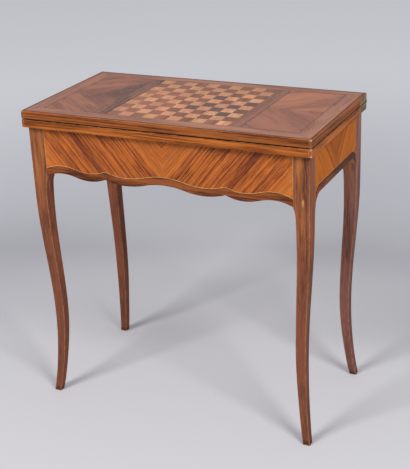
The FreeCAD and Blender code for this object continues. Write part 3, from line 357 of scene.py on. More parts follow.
PALE_WOOD = (tone(176, 132, 88), tone(128, 88, 56))
raw_look = dict(stripe=0.4, cloud=0.4, edge=0.0008, edge_share=0.2)


def raw_wood(name, grain, spacing=0.007):
    """Pale wood that was planed and never polished."""
    return polished_wood(name, *PALE_WOOD, grain, spacing=spacing, **raw_look)


dress(raw_wood("rail_wood_long", ALONG_X), "front_rail", "back_rail")
dress(raw_wood("rail_wood_short", ALONG_Y), "left_rail", "right_rail")


# Apron veneers
# Each apron is faced with two leaves of striped orange-brown veneer, opened like a book at the middle.
# The stripes run up and outwards, so that they meet in a V, and the same dark bands show on both sides.

STRIPE_SLOPE = math.radians(50)
LEAN, CLIMB = math.cos(STRIPE_SLOPE), math.sin(STRIPE_SLOPE)
FRONT_ALONG, FRONT_ACROSS = (LEAN, 0, CLIMB), (-CLIMB, 0, LEAN)
SIDE_ALONG, SIDE_ACROSS = (0, LEAN, CLIMB), (0, -CLIMB, LEAN)
FRONT_VENEER = (tone(198, 108, 44), tone(98, 42, 22))
SIDE_VENEER = (tone(202, 116, 44), tone(156, 79, 32))
HEART = tone(94, 40, 27)
SAPWOOD = tone(212, 122, 52)
FRONT_BANDS = (
    (0.268, 0.010, 0.75, HEART), (0.305, 0.006, 0.4, HEART), (0.240, 0.004, 0.35, HEART),
    (0.210, 0.004, 0.35, HEART), (0.372, 0.004, 0.4, HEART), (0.400, 0.022, 0.5, SAPWOOD),
    (0.174, 0.026, 0.65, SAPWOOD),
)
SIDE_BANDS = ((0.390, 0.004, 0.6, HEART), (0.424, 0.030, 0.5, HEART))
BAND_SPOTS = 25
BAND_WANDER = 0.010
BAND_LINES = (420, 1, 1)
BAND_LINE_EDGE = (0.35, 0.6, 0.35, 1.0)
BAND_FADE = (0.3, 1.4)


def folded(tree, point, axes):
    """The point with some of its coordinates made positive, as if the table were folded at its middle."""
    parts = zip("xyz", parts_of(tree, point))
    return joined(tree, *[number(tree, "ABSOLUTE", part) if axis in axes else part for axis, part in parts])


def book_matched(along, across):
    """Grain of two leaves that mirror each other at the middle of the apron."""
    straight = run_along(along, across)
    return lambda tree, point: straight(tree, folded(tree, point, "xy"))


def make_wood_band():
    """A band of darker or paler wood across the grain, with fine lines in it, alike on both leaves."""
    group, given, point, result = recolour("wood_band", [
        ("Across", "Vector", (0, 0, 1)),
        ("Middle", "Float", 0.3),
        ("Width", "Float", 0.01),
        ("Strength", "Float", 0.5),
        ("Tone", "Color", HEART),
    ])
    mirrored = folded(group, point, "xy")
    place = measure(group, "DOT_PRODUCT", mirrored, given["Across"])
    wander = number(group, "MULTIPLY_ADD", mottle(group, mirrored, BAND_SPOTS), BAND_WANDER, place)
    lines = ease(group, mottle(group, joined(group, wander), BAND_LINES), *BAND_LINE_EDGE)
    middle = number(group, "ADD", given["Middle"], BAND_WANDER / 2)
    off = number(group, "ABSOLUTE", number(group, "SUBTRACT", wander, middle))
    full, gone = (number(group, "MULTIPLY", given["Width"], share) for share in BAND_FADE)
    mask = ease(group, off, full, gone, given["Strength"], 0.0)
    amount = number(group, "MULTIPLY", mask, lines)
    group.links.new(mixed(group, amount, given["Color"], given["Tone"]), result)
    return group


WOOD_BAND = make_wood_band()


def banded(across, bands):
    """The stains of several bands: where each is, how wide, how strong and of what colour."""
    sockets = ("Middle", "Width", "Strength", "Tone")
    return [(WOOD_BAND, {"Across": across, **dict(zip(sockets, band))}) for band in bands]


dress(polished_wood(
    "apron_veneer_long", *FRONT_VENEER, book_matched(FRONT_ALONG, FRONT_ACROSS), stripe=0.66, spacing=0.0018,
    cloud=0.4, fleck=1.6, edge=0.0005, edge_share=0.0, sheen=0.15, recolours=banded(FRONT_ACROSS, FRONT_BANDS)
), "front_veneer", "back_veneer")
dress(polished_wood(
    "apron_veneer_short", *SIDE_VENEER, book_matched(SIDE_ALONG, SIDE_ACROSS), stripe=0.25, spacing=0.004,
    cloud=0.35, edge=0.0005, edge_share=0.0, sheen=0.01, recolours=banded(SIDE_ACROSS, SIDE_BANDS)
), "left_veneer", "right_veneer")


# Stringing
# A thin line of pale boxwood let in above the moulding and up beside each leg block.
# It is level with the veneer, and a little darkened by polish.

STRING = (tone(222, 168, 100), tone(176, 118, 62))
string_wood = polished_wood(
    "string_wood", *STRING, ALONG_X, stripe=0.3, spacing=0.003, cloud=0.4, edge=0.0003, edge_share=0.0
)
dress(string_wood, "front_stringing", "back_stringing", "left_stringing", "right_stringing")


# Lower mouldings
# A brown hardwood moulding follows the scalloped lower edge of each apron, mitred at the cusps and glued on.
# Its edges are bevelled and painted dark, as the shade of a rounded profile, so only its middle shows the
# golden wood.

BEAD = (tone(150, 84, 47), tone(74, 40, 27))
# Painted shade: the dark tone on the bevelled edges stands for the shade of a rounded moulding.
BEAD_EDGE_SHADE = tone(76, 44, 34)
bead_look = dict(
    stripe=0.5, spacing=0.004, cloud=0.7, fleck=1.4, edge=0.0036, edge_share=0.75, edge_tone=BEAD_EDGE_SHADE,
    rounded=1.0, sheen=0.04
)
dress(polished_wood("bead_wood_long", *BEAD, ALONG_X, **bead_look), "front_bead", "back_bead")
dress(polished_wood("bead_wood_short", *BEAD, ALONG_Y, **bead_look), "left_bead", "right_bead")


# Inside the frame
# The pivot rail on its two blocks, the well's wall, bottom board and bearers, all of plain pale wood.
# They are glued and nailed between the rails, and have only browned with age.

dress(raw_wood("well_wood_deep", ALONG_Y), "pivot_rail", "pivot_rail_blocks", "well_partition")
dress(raw_wood("well_wood_wide", ALONG_X), "well_bottom", "well_bearers")


# Cloth of the well and of the inner faces
# Green woollen baize, glued flat to the boards and trimmed against the wood round it.
# It is worn thin in places, with a short nap and a fine weave under it.

CLOTH_THICKNESS = 0.0006
CLOTH_STEP = 0.02
LEG_CORNER = 0.0134
NAP_SPOTS = 900
NAP_EDGE = (0.3, 0.7)
NAP_TONES = (tone(44, 78, 50), tone(70, 108, 70))
NAP_ROUGHNESS = (0.88, 0.98)
THREADS = {"Scale": 420.0, "Distortion": 1.5}
THREAD_HEIGHT = 0.5
WORN_SPOTS = 7
WORN_DETAIL = 4.0
WORN_EDGE = (0.42, 0.7, 0.0, 0.45)
WORN_TONE = tone(104, 118, 78)
CLOTH_BUMP = {"Strength": 0.4, "Distance": 0.0004}


def baize_finish():
    """Short green nap over a fine weave, yellower where it is worn."""
    material, tree, point = new_finish("baize")
    nap = mottle(tree, point, NAP_SPOTS, FINE)
    warp, weft = (
        put(tree, "TexWave", {"Vector": point, **THREADS}, bands_direction=way).outputs["Fac"] for way in "XY"
    )
    weave = number(tree, "MULTIPLY", warp, weft)
    worn = ease(tree, mottle(tree, point, WORN_SPOTS, WORN_DETAIL), *WORN_EDGE)
    colour = mixed(tree, ease(tree, nap, *NAP_EDGE), *NAP_TONES)
    colour = mixed(tree, worn, colour, WORN_TONE)
    height = number(tree, "MULTIPLY_ADD", weave, THREAD_HEIGHT, nap)
    bump = put(tree, "Bump", {"Height": height, **CLOTH_BUMP})
    shader = put(tree, "BsdfPrincipled", {
        "Base Color": colour, "Roughness": ease(tree, nap, *NAP_EDGE, *NAP_ROUGHNESS),
        "Normal": bump.outputs["Normal"], "Sheen Weight": 0.4, "Sheen Roughness": 0.5,
    })
    put(tree, "OutputMaterial", {"Surface": shader.outputs["BSDF"]})
    return material


BAIZE = baize_finish()


def steps(low, high, extra=()):
    """Lines of a grid from low to high, about CLOTH_STEP apart, with any extra ones."""
    count = max(1, round((high - low) / CLOTH_STEP))
    lines = {low + (high - low) * index / count for index in range(count + 1)} | set(extra)
    return sorted(lines)


def laid_cloth(name, node, body, up, notch=None):
    """A sheet of baize on a board, where its CAD node is. notch is what is cut from the left corners."""
    low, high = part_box(node)
    base = low.z if up else high.z
    columns = steps(low.x, high.x, [low.x + notch] if notch else ())
    rows = steps(low.y, high.y, [low.y + notch, high.y - notch] if notch else ())
    mesh = bmesh.new()
    grid = [[mesh.verts.new((x, y, base)) for y in rows] for x in columns]
    area = 0.0
    for i in range(len(columns) - 1):
        for j in range(len(rows) - 1):
            x = (columns[i] + columns[i + 1]) / 2
            y = (rows[j] + rows[j + 1]) / 2
            if notch and x < low.x + notch and not low.y + notch < y < high.y - notch:
                continue
            corners = [grid[i][j], grid[i + 1][j], grid[i + 1][j + 1], grid[i][j + 1]]
            area += mesh.faces.new(corners if up else corners[::-1]).calc_area()
    bmesh.ops.delete(mesh, geom=[vert for vert in mesh.verts if not vert.link_faces], context="VERTS")
    data = bpy.data.meshes.new(name)
    mesh.to_mesh(data)
    mesh.free()
    data.materials.append(BAIZE)
    piece = bpy.data.objects.new(name, data)
    bpy.context.scene.collection.objects.link(piece)
    nap = piece.modifiers.new("nap", "SOLIDIFY")
    nap.thickness = CLOTH_THICKNESS
    nap.offset = 1.0
    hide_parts(node)
    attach(piece, body)


laid_cloth("well_cloth", "well_lining", "base", True, LEG_CORNER)
laid_cloth("lower_cloth", "lower_baize", "lower_leaf", True)
laid_cloth("upper_cloth", "upper_baize", "upper_leaf", False)


# Leaf boards and inner bands
# Each leaf is a pale board, veneered on its faces. The underside of the lower leaf shows it bare.
# A band of brown veneer frames the baize on the inner faces, mitred at the corners.

BOARD_SPACING = 0.009
JOINT = tone(46, 28, 24)
INNER_BAND = (tone(150, 94, 66), tone(100, 58, 42))
INNER_BAND_AT = (0.317, 0.148)
INNER_BAND_WIDTH = (0.030, 0.030)
FLAT_X = run_along((1, 0, 0), (0, 1, 0))
FLAT_Y = run_along((0, 1, 0), (1, 0, 0))


def mitred(corner, widths):
    """Grain along each band of a frame whose inner corner is given, turned at the mitres."""

    def grain(tree, point):
        past = vector(tree, "SUBTRACT", folded(tree, point, "xy"), (*corner, 0))
        at_end, at_side, _ = parts_of(tree, vector(tree, "DIVIDE", past, (*widths, 1)))
        on_end = number(tree, "GREATER_THAN", at_end, at_side)
        feeds = {0: on_end, 4: FLAT_X(tree, point), 5: FLAT_Y(tree, point)}
        return put(tree, "Mix", feeds, data_type="VECTOR").outputs[1]

    return grain


dress(raw_wood("board_wood", ALONG_X, BOARD_SPACING), "lower_leaf_core", "upper_leaf_core")
inner_band = polished_wood(
    "inner_band_veneer", *INNER_BAND, mitred(INNER_BAND_AT, INNER_BAND_WIDTH), stripe=0.6, spacing=0.004,
    cloud=0.4, edge=0.0004, edge_share=0.6, edge_tone=JOINT
)
dress(inner_band, "lower_inner_banding", "upper_inner_banding")


# Edge strips of the leaves
# Solid strips are glued round both leaves. The end strips run through, so their end grain shows in front.
# The lower leaf's strips have kept their orange colour, and the upper leaf's are browner and more handled.

UPPER_EDGE = (tone(162, 91, 46), tone(84, 44, 25))
LOWER_EDGE = (tone(198, 113, 48), tone(112, 58, 27))
TOP_FACE = (0.8, 0.95, 0.0, 0.7)
TOP_FACE_TONE = tone(96, 66, 56)
LEAF_GAP = 0.7204
GAP_SHADE = (0.0012, 0.0030, 0.85, 0.0)
GAP_SHADE_TONE = tone(34, 20, 14)
CHIPPED_CORNERS = (
    (0.353, -0.188, 0.740), (0.353, -0.188, 0.7195), (0.353, -0.188, 0.7008), (-0.353, -0.188, 0.740)
)
CHIP_SPOTS = 300
CHIP_RAGGED = 0.012
CHIP_SIZE = (0.001, 0.006, 0.7, 0.0)
CHIP_TONE = tone(228, 182, 138)
CUT_FACE = (0.75, 0.9, 0.0, 0.7)
CUT_SPOTS = 900
CUT_DOTS = (0.4, 0.65)
CUT_TONES = (tone(150, 92, 58), tone(84, 48, 32))
edge_look = dict(stripe=0.65, spacing=0.003, cloud=0.45, edge=0.0026, edge_share=0.5, rounded=1.0, sheen=0.04)


def facing(tree):
    """Which way the surface faces, as X, Y and Z."""
    return parts_of(tree, put(tree, "TexCoord").outputs["Normal"])


def make_handled_and_shaded_strip():
    """Dull on top, with painted shade along the gap between the leaves, and bare wood at the chipped corners.
    """
    group, given, point, result = recolour("handled_and_shaded_strip")
    colour = mixed(group, ease(group, facing(group)["Z"], *TOP_FACE), given["Color"], TOP_FACE_TONE)
    # Painted shade: a dark line on both leaves along the gap between them, where the groove lies in shadow.
    from_gap = number(group, "SUBTRACT", parts_of(group, point)["Z"], LEAF_GAP)
    dark_line = ease(group, number(group, "ABSOLUTE", from_gap), *GAP_SHADE)
    colour = mixed(group, dark_line, colour, GAP_SHADE_TONE)
    spots = number(group, "SUBTRACT", mottle(group, point, CHIP_SPOTS, FINE), MOTTLE_MIDDLE)
    ragged = number(group, "MULTIPLY", spots, CHIP_RAGGED)
    for corner in CHIPPED_CORNERS:
        away = number(group, "ADD", measure(group, "DISTANCE", point, corner), ragged)
        colour = mixed(group, ease(group, away, *CHIP_SIZE), colour, CHIP_TONE)
    group.links.new(colour, result)
    return group


def make_cut_ends():
    """The cut ends of a strip are dark, with fine dots of open pores."""
    group, given, point, result = recolour("cut_ends")
    cut = ease(group, number(group, "ABSOLUTE", facing(group)["Y"]), *CUT_FACE)
    dots = ease(group, mottle(group, point, CUT_SPOTS), *CUT_DOTS)
    group.links.new(mixed(group, cut, given["Color"], mixed(group, dots, *CUT_TONES)), result)
    return group


HANDLED_AND_SHADED = (make_handled_and_shaded_strip(), {})
CUT_ENDS = (make_cut_ends(), {})
for leaf, colours in (("upper", UPPER_EDGE), ("lower", LOWER_EDGE)):
    long_strip = polished_wood(leaf + "_edge_long", *colours, ALONG_X, recolours=[HANDLED_AND_SHADED], **edge_look)
    dress(long_strip, leaf + "_front_lipping", leaf + "_back_lipping")
    end_strip = polished_wood(
        leaf + "_edge_short", *colours, ALONG_Y, recolours=[CUT_ENDS, HANDLED_AND_SHADED], **edge_look
    )
    dress(end_strip, leaf + "_end_lippings")


# Veneers of the top: border and dividing bands
# Bands of red-brown veneer, mitred at the corners, frame the top and stand at both sides of the board.
# They have faded to a dull mauve-brown under the polish, and dirt has settled in their joints.

BORDER = (tone(182, 126, 101), tone(122, 83, 71))
BORDER_AT = (0.313, 0.150)
BORDER_WIDTH = (0.034, 0.030)
BOARD_EDGE = 0.150
PANEL_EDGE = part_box("top_panel_right")[0].x
OFF_THE_TOP = 1.0
JOINT_WIDTH = (0.0004, 0.0018, 0.65, 0.0)
JOINT_SPOTS = 60
JOINT_PATCHES = (0.35, 0.6, 0.4, 1.0)
DIVIDER = (tone(156, 112, 94), tone(92, 64, 54))
REDDER_SHARE = 0.45
REDDER_TONE = tone(158, 104, 84)
SCRATCHED_AT = (-0.185, 0.055, 0)
SCRATCHED_SIZE = (0.03, 0.09, 0.55, 0.0)
SCRATCH_SPOTS = (300, 75, 1)
SCRATCH_EDGE = (0.60, 0.70)
SCRATCH_TONE = tone(186, 156, 140)
border_look = dict(stripe=0.4, spacing=0.004, cloud=0.4, edge=0.0020, edge_share=0.9, edge_tone=JOINT, coat=0.2)
divider_look = dict(border_look, stripe=0.6, spacing=0.003, fleck=1.6)


def make_joint_dirt():
    """Dirt along the inner edge of the border, and along two more joints at some distance from the middle."""
    inputs = [("First", "Float", OFF_THE_TOP), ("Second", "Float", OFF_THE_TOP)]
    group, given, point, result = recolour("joint_dirt", inputs)
    x, y, _ = parts_of(group, folded(group, point, "xy"))
    past = [number(group, "SUBTRACT", part, start) for part, start in zip((x, y), BORDER_AT)]
    away = number(group, "ABSOLUTE", number(group, "MAXIMUM", *past))
    for line in (given["First"], given["Second"]):
        from_line = number(group, "ABSOLUTE", number(group, "SUBTRACT", x, line))
        away = number(group, "MINIMUM", away, from_line)
    patches = ease(group, mottle(group, point, JOINT_SPOTS, FINE), *JOINT_PATCHES)
    dark_line = number(group, "MULTIPLY", ease(group, away, *JOINT_WIDTH), patches)
    group.links.new(mixed(group, dark_line, given["Color"], JOINT), result)
    return group


def make_scratches():
    """Short pale scratches at the left side of the board, where things were pushed over the joint."""
    group, given, point, result = recolour("scratches")
    away = measure(group, "DISTANCE", vector(group, "MULTIPLY", point, (1, 1, 0)), SCRATCHED_AT)
    marks = ease(group, mottle(group, point, SCRATCH_SPOTS), *SCRATCH_EDGE)
    amount = number(group, "MULTIPLY", ease(group, away, *SCRATCHED_SIZE), marks)
    group.links.new(mixed(group, amount, given["Color"], SCRATCH_TONE), result)
    return group


def make_redder_at_right():
    """The right divider is redder than the left one."""
    group, given, point, result = recolour("redder_at_right")
    right = number(group, "GREATER_THAN", parts_of(group, point)["X"], 0.0)
    amount = number(group, "MULTIPLY", right, REDDER_SHARE)
    group.links.new(mixed(group, amount, given["Color"], REDDER_TONE), result)
    return group


JOINT_DIRT = make_joint_dirt()
SCRATCHES = (make_scratches(), {})
border = polished_wood(
    "border_veneer", *BORDER, mitred(BORDER_AT, BORDER_WIDTH), recolours=[(JOINT_DIRT, {})], **border_look
)
dress(border, "top_banding")
dividers = polished_wood("divider_veneer", *DIVIDER, FLAT_Y, recolours=[
    (make_redder_at_right(), {}), SCRATCHES, (JOINT_DIRT, {"First": PANEL_EDGE, "Second": BOARD_EDGE})
], **divider_look)
dress(dividers, "top_dividers")


# Veneers of the top: side panels
# Each side panel is two leaves of veneer that meet along the middle, with the grain turned to a chevron.
# The left one has a smoky streak of heartwood behind the joint; on the right one the front leaf is painted
# duller and greyer than the back, as a painted reflection.

CHEVRON = math.radians(40)
CHEVRON_GRAIN = run_along(
    (math.cos(CHEVRON), math.sin(CHEVRON), 0), (-math.sin(CHEVRON), math.cos(CHEVRON), 0)
)
PANEL = (tone(190, 124, 94), tone(126, 84, 71))
LEFT_SHARE = 0.2
LEFT_TONE = tone(104, 78, 72)
STREAK_START = Vector((-0.275, -0.040, 0))
STREAK_END = Vector((-0.185, 0.120, 0))
STREAK_SPOTS = (16, 90, 90)
STREAK_WANDER = 0.03
STREAK_BEGINS = (0.0, 0.030)
STREAK_FADES = (0.05, 0.17, 1.0, 0.0)
STREAK_REACHES = (-0.05, 0.08, 0.0, 0.8)
STREAK_TONE = tone(92, 68, 62)
REDDER_BEHIND = (-0.01, 0.02)
FRONT_REFLECTION_SHARE = 0.35
FRONT_REFLECTION_TONE = tone(124, 84, 80)
panel_look = dict(
    stripe=0.3, spacing=0.006, cloud=0.5, fleck=1.3, edge=0.0020, edge_share=0.9, edge_tone=JOINT, coat=0.2
)


def chevron(tree, point):
    """Grain that slants back and outwards from the middle joint on both leaves."""
    return CHEVRON_GRAIN(tree, folded(tree, point, "y"))


def make_smoky_streak():
    """Dark heartwood on the board's side of a slanting line, which fades out away from the line."""
    group, given, point, result = recolour("smoky_streak")
    run = (STREAK_END - STREAK_START).normalized()
    shifted = vector(group, "SUBTRACT", point, tuple(STREAK_START))
    off = measure(group, "DOT_PRODUCT", shifted, (run.y, -run.x, 0))
    way = measure(group, "DOT_PRODUCT", shifted, tuple(run))
    spots = mottle(group, chevron(group, point), STREAK_SPOTS, FINE)
    wander = number(group, "MULTIPLY_ADD", spots, STREAK_WANDER, off)
    begun, left = (ease(group, wander, *edge) for edge in (STREAK_BEGINS, STREAK_FADES))
    streak = number(group, "MULTIPLY", begun, left)
    streak = number(group, "MULTIPLY", streak, ease(group, way, *STREAK_REACHES))
    colour = mixed(group, LEFT_SHARE, given["Color"], LEFT_TONE)
    group.links.new(mixed(group, streak, colour, STREAK_TONE), result)
    return group


def make_redder_behind():
    """The leaf in front of the middle joint is painted duller and greyer, as a painted reflection; the leaf
    behind keeps its red.
    """
    group, given, point, result = recolour("redder_behind")
    behind = ease(group, parts_of(group, point)["Y"], *REDDER_BEHIND)
    # Painted reflection: the front leaf is mixed towards a greyer tone.
    front = mixed(group, FRONT_REFLECTION_SHARE, given["Color"], FRONT_REFLECTION_TONE)
    group.links.new(mixed(group, behind, front, given["Color"]), result)
    return group


panel_dirt = (JOINT_DIRT, {"First": PANEL_EDGE})
panel_recolours = {
    "left": [(make_smoky_streak(), {}), SCRATCHES, panel_dirt],
    "right": [(make_redder_behind(), {}), panel_dirt],
}
for side, recolours in panel_recolours.items():
    panel = polished_wood(side + "_panel_veneer", *PANEL, chevron, recolours=recolours, **panel_look)
    dress(panel, "top_panel_" + side)


# Veneers of the top: the board
# A hundred squares of pale and dark veneer, cut from several leaves, so that each has its own shade.
# Right of the middle some of the dark squares come from a blacker wood.

SQUARE = 0.030
BOARD_CORNER = (-0.150, -0.150, 0)
GRAIN_JUMP = (0.37, 0.61, 0)
PALE_SQUARE = (tone(236, 178, 134), tone(178, 120, 86))
DARK_SQUARE = (tone(166, 106, 80), tone(108, 68, 51))
PINKISH_SHARE = 0.6
PINKISH = tone(216, 140, 108)
OLIVE_CHANCE = (0.65, 0.95, 0.0, 0.45)
OLIVE = tone(196, 146, 96)
DULL_CHANCE = (0.6, 1.0, 0.0, 0.45)
DULL = tone(176, 122, 98)
PALER_LEFT = (0.0, 6.0, 0.55, 0.0)
PALER = tone(190, 118, 92)
WARM_SHARE = 0.3
WARM = tone(170, 108, 78)
DARK_OLIVE_CHANCE = (0.55, 0.95, 0.0, 0.45)
DARK_OLIVE = tone(126, 92, 72)
LAST_RANKS = (5.0, 9.5, 0.0, 0.5)
PALE_BEHIND = tone(184, 132, 98)
DARK_BEHIND = tone(124, 94, 72)
BLACK_MIDDLE = (7.0, 4.0, 0)
BLACK_REACH = (2.6, 4.2, 0.75, 0.0)
BLACK_CHANCE = (0.15, 0.45)
BLACK = tone(98, 80, 70)
square_look = dict(
    stripe=0.5, spacing=0.004, cloud=0.5, fleck=1.8, edge=0.0009, edge_share=0.6, edge_tone=JOINT, coat=0.2
)


def square_of(tree, point):
    """Column and rank of a point's square, and three random numbers that belong to the square."""
    shifted = vector(tree, "SUBTRACT", point, BOARD_CORNER)
    cell = vector(tree, "FLOOR", vector(tree, "MULTIPLY", shifted, (1 / SQUARE, 1 / SQUARE, 0)))
    chance = put(tree, "TexWhiteNoise", {"Vector": cell}, noise_dimensions="2D").outputs["Color"]
    return cell, put(tree, "SeparateColor", {"Color": chance}).outputs


def own_grain(tree, point):
    """Each square's grain starts from another place in the wood."""
    cell, _ = square_of(tree, point)
    return FLAT_Y(tree, vector(tree, "ADD", point, vector(tree, "MULTIPLY", cell, GRAIN_JUMP)))


def make_pale_shades():
    """Pale squares are pinkish or orange, some olive and some dull."""
    group, given, point, result = recolour("pale_shades")
    _, (first, second, third) = square_of(group, point)
    colour = mixed(group, number(group, "MULTIPLY", first, PINKISH_SHARE), given["Color"], PINKISH)
    colour = mixed(group, ease(group, second, *OLIVE_CHANCE), colour, OLIVE)
    group.links.new(mixed(group, ease(group, third, *DULL_CHANCE), colour, DULL), result)
    return group


def make_dark_shades():
    """Dark squares are red-brown, paler at the left, and some are olive."""
    group, given, point, result = recolour("dark_shades")
    cell, (_, second, third) = square_of(group, point)
    colour = mixed(group, ease(group, parts_of(group, cell)["X"], *PALER_LEFT), given["Color"], PALER)
    colour = mixed(group, number(group, "MULTIPLY", second, WARM_SHARE), colour, WARM)
    group.links.new(mixed(group, ease(group, third, *DARK_OLIVE_CHANCE), colour, DARK_OLIVE), result)
    return group


def make_last_ranks():
    """The last ranks are browner, away from the light."""
    group, given, point, result = recolour("last_ranks", [("Behind", "Color", DARK_BEHIND)])
    cell, _ = square_of(group, point)
    amount = ease(group, parts_of(group, cell)["Y"], *LAST_RANKS)
    group.links.new(mixed(group, amount, given["Color"], given["Behind"]), result)
    return group


def make_black_squares():
    """Some squares right of the middle are black."""
    group, given, point, result = recolour("black_squares")
    cell, (first, _, _) = square_of(group, point)
    near = ease(group, measure(group, "DISTANCE", cell, BLACK_MIDDLE), *BLACK_REACH)
    amount = number(group, "MULTIPLY", near, ease(group, first, *BLACK_CHANCE))
    group.links.new(mixed(group, amount, given["Color"], BLACK), result)
    return group


LAST_RANKS_STAIN = make_last_ranks()
pale_square = polished_wood("pale_square_veneer", *PALE_SQUARE, own_grain, recolours=[
    (make_pale_shades(), {}), (LAST_RANKS_STAIN, {"Behind": PALE_BEHIND})
], **square_look)
dress(pale_square, "light_squares")
dark_square = polished_wood("dark_square_veneer", *DARK_SQUARE, own_grain, recolours=[
    (make_dark_shades(), {}), (LAST_RANKS_STAIN, {"Behind": DARK_BEHIND}), (make_black_squares(), {})
], **square_look)
dress(dark_square, "dark_squares")


# End hinges
# Cast brass plates let into the ends of both leaves, each with a round ear on the hinge line, held by screws.
# The brass has dulled to olive, with brown in the corners and a little shine where hands rub it.

METAL_CLOUDS = 70
METAL_DETAIL = 4.0
METAL_CLOUD_EDGE = (0.3, 0.7)
METAL_SPECKS = 1400
METAL_ARRIS = 0.0006
METAL_GRIME = 0.004
METAL_BUMP = {"Strength": 0.12, "Distance": 0.0002}


def old_metal(name, bright, dull, dirty, shine, haze):
    """Metal from dull to bright in clouds, bright on its edges and dirty in its corners."""
    material, tree, point = new_finish(name)
    cloud = ease(tree, mottle(tree, point, METAL_CLOUDS, METAL_DETAIL), *METAL_CLOUD_EDGE)
    arris = put(tree, "Group", {"Radius": METAL_ARRIS}, node_tree=ARRIS).outputs["Mask"]
    shade_and_dirt = put(tree, "Group", {"Reach": METAL_GRIME}, node_tree=SHADE_AND_DIRT).outputs["Mask"]
    colour = mixed(tree, cloud, dull, bright)
    colour = mixed(tree, arris, colour, bright)
    colour = mixed(tree, shade_and_dirt, colour, dirty)
    bump = put(tree, "Bump", {"Height": mottle(tree, point, METAL_SPECKS), **METAL_BUMP})
    shader = put(tree, "BsdfPrincipled", {
        "Base Color": colour, "Metallic": 1.0, "Roughness": ease(tree, cloud, 0.0, 1.0, haze, shine),
        "Normal": bump.outputs["Normal"],
    })
    put(tree, "OutputMaterial", {"Surface": shader.outputs["BSDF"]})
    return material


BRASS = (tone(160, 130, 80), tone(124, 98, 64), tone(58, 46, 30))
HINGE_PLATES = [f"{side}_hinge_{leaf}_plate" for side in ("left", "right") for leaf in ("lower", "upper")]
old_brass = old_metal("old_brass", *BRASS, shine=0.38, haze=0.55)
dress(old_brass, *HINGE_PLATES, "hinge_pins", "lower_hinge_screws", "upper_hinge_screws")


# Swivel
# An iron plate under the lower leaf carries a spindle, which turns in a brass bush and is kept by a nut.
# Two turned pegs under the leaf stop against the back rail.

IRON = (tone(112, 108, 104), tone(66, 60, 56), tone(70, 44, 30))
PEG = (tone(150, 102, 66), tone(98, 62, 40))
old_iron = old_metal("old_iron", *IRON, shine=0.4, haze=0.7)
dress(old_iron, "pivot_plate", "pivot_spindle", "pivot_washer", "pivot_nut", "pivot_plate_screws")
dress(old_brass, "pivot_bush")
dress(polished_wood("peg_wood", *PEG, ALONG_Z, stripe=0.4, spacing=0.003), "stop_pegs")


# Studio
# The table stands on a wide pale floor, in the light of two large soft lamps in front of it.
# The lamps stand at both sides of the camera, so each foot has two soft shadows.

FLOOR_SIZE = 15.0
FLOOR_SIDES = 64
FLOOR_DROP = 0.0005
FLOOR_ROUGHNESS = 0.9
# Painted light: the floor is lighter near the table, where its shadow falls, and glows farther out though it
# is no lamp.
FLOOR_TONES = (tone(212, 211, 215), tone(198, 198, 204))
FLOOR_TURNS = (0.5, 1.4)
FLOOR_BRIGHTENS = (0.5, 3.4)
FLOOR_GLOW = (0.3, 0.3, 0.315, 1.0)
NO_GLOW = (0, 0, 0, 1)
# Painted light: a glowing patch behind the table lifts the table's shadow there.
LIGHTER_AT = (-0.2, 0.58, 0)
LIGHTER_SIZE = (0.9, 0.3, 1)
LIGHTER_TURN = 0.28
LIGHTER_EDGE = (0.3, 1.2, 1.0, 0.0)
LIGHTER_GLOW = (0.085, 0.085, 0.088, 1.0)
LAMP_SIZE = 1.1
LAMPS = (("left_lamp", (-1.2, -2.75, 3.2), 86.0), ("right_lamp", (2.5, -1.68, 3.1), 78.0))
LAMP_TARGET = Vector((0, 0, 0.45))
ROOM_TONE = tone(205, 206, 212)
ROOM_STRENGTH = 0.52
CAMERA_PLACE = (1.06315, -2.15028, 1.41710)
CAMERA_RIGHT = Vector((0.9049, 0.4237, -0.0400))
CAMERA_UP = Vector((-0.1314, 0.3675, 0.9207))
CAMERA_AHEAD = Vector((-0.4048, 0.8279, -0.3882))
CAMERA_SENSOR = 36.0
CAMERA_LENS = 82.44


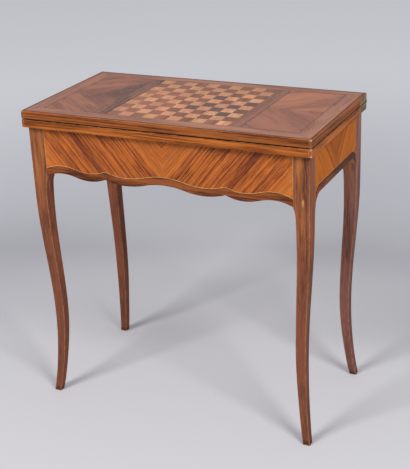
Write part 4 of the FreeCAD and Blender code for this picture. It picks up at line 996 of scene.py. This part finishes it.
def floor_paper():
    """Pale paper with painted light: lighter near the table to lift its shadow, and glowing, though no lamp,
    farther out and in a patch behind the table.
    """
    material, tree, point = new_finish("floor_paper")
    away = measure(tree, "LENGTH", point)
    colour = mixed(tree, ease(tree, away, *FLOOR_TURNS), *FLOOR_TONES)
    glow = mixed(tree, ease(tree, away, *FLOOR_BRIGHTENS), NO_GLOW, FLOOR_GLOW)
    x, y, _ = parts_of(tree, point)
    turned = joined(tree, x, number(tree, "MULTIPLY_ADD", x, -LIGHTER_TURN, y))
    shifted = vector(tree, "SUBTRACT", turned, LIGHTER_AT)
    off = measure(tree, "LENGTH", vector(tree, "DIVIDE", shifted, LIGHTER_SIZE))
    glow = mixed(tree, ease(tree, off, *LIGHTER_EDGE), glow, LIGHTER_GLOW, "ADD")
    shader = put(tree, "BsdfPrincipled", {
        "Base Color": colour, "Roughness": FLOOR_ROUGHNESS, "Emission Color": glow, "Emission Strength": 1.0,
    })
    put(tree, "OutputMaterial", {"Surface": shader.outputs["BSDF"]})
    return material


floor_mesh = bmesh.new()
bmesh.ops.create_circle(floor_mesh, cap_ends=True, radius=FLOOR_SIZE, segments=FLOOR_SIDES)
floor_data = bpy.data.meshes.new("floor")
floor_mesh.to_mesh(floor_data)
floor_mesh.free()
floor_data.materials.append(floor_paper())
floor = bpy.data.objects.new("floor", floor_data)
floor.location.z = -FLOOR_DROP
bpy.context.scene.collection.objects.link(floor)

for lamp_name, place, power in LAMPS:
    lamp_data = bpy.data.lights.new(lamp_name, "AREA")
    lamp_data.energy = power
    lamp_data.size = LAMP_SIZE
    lamp = bpy.data.objects.new(lamp_name, lamp_data)
    lamp.location = place
    lamp.rotation_euler = (LAMP_TARGET - Vector(place)).to_track_quat("-Z", "Y").to_euler()
    bpy.context.scene.collection.objects.link(lamp)

room = bpy.data.worlds.new("room")
room.use_nodes = True
room.node_tree.nodes["Background"].inputs["Color"].default_value = ROOM_TONE
room.node_tree.nodes["Background"].inputs["Strength"].default_value = ROOM_STRENGTH
bpy.context.scene.world = room

camera_data = bpy.data.cameras.new("camera")
camera_data.sensor_width = CAMERA_SENSOR
camera_data.lens = CAMERA_LENS
camera = bpy.data.objects.new("camera", camera_data)
camera_turn = Matrix((CAMERA_RIGHT, CAMERA_UP, -CAMERA_AHEAD)).transposed().to_4x4()
camera.matrix_world = Matrix.Translation(CAMERA_PLACE) @ camera_turn
bpy.context.scene.collection.objects.link(camera)
bpy.context.scene.camera = camera
bpy.context.scene.view_settings.view_transform = "Standard"
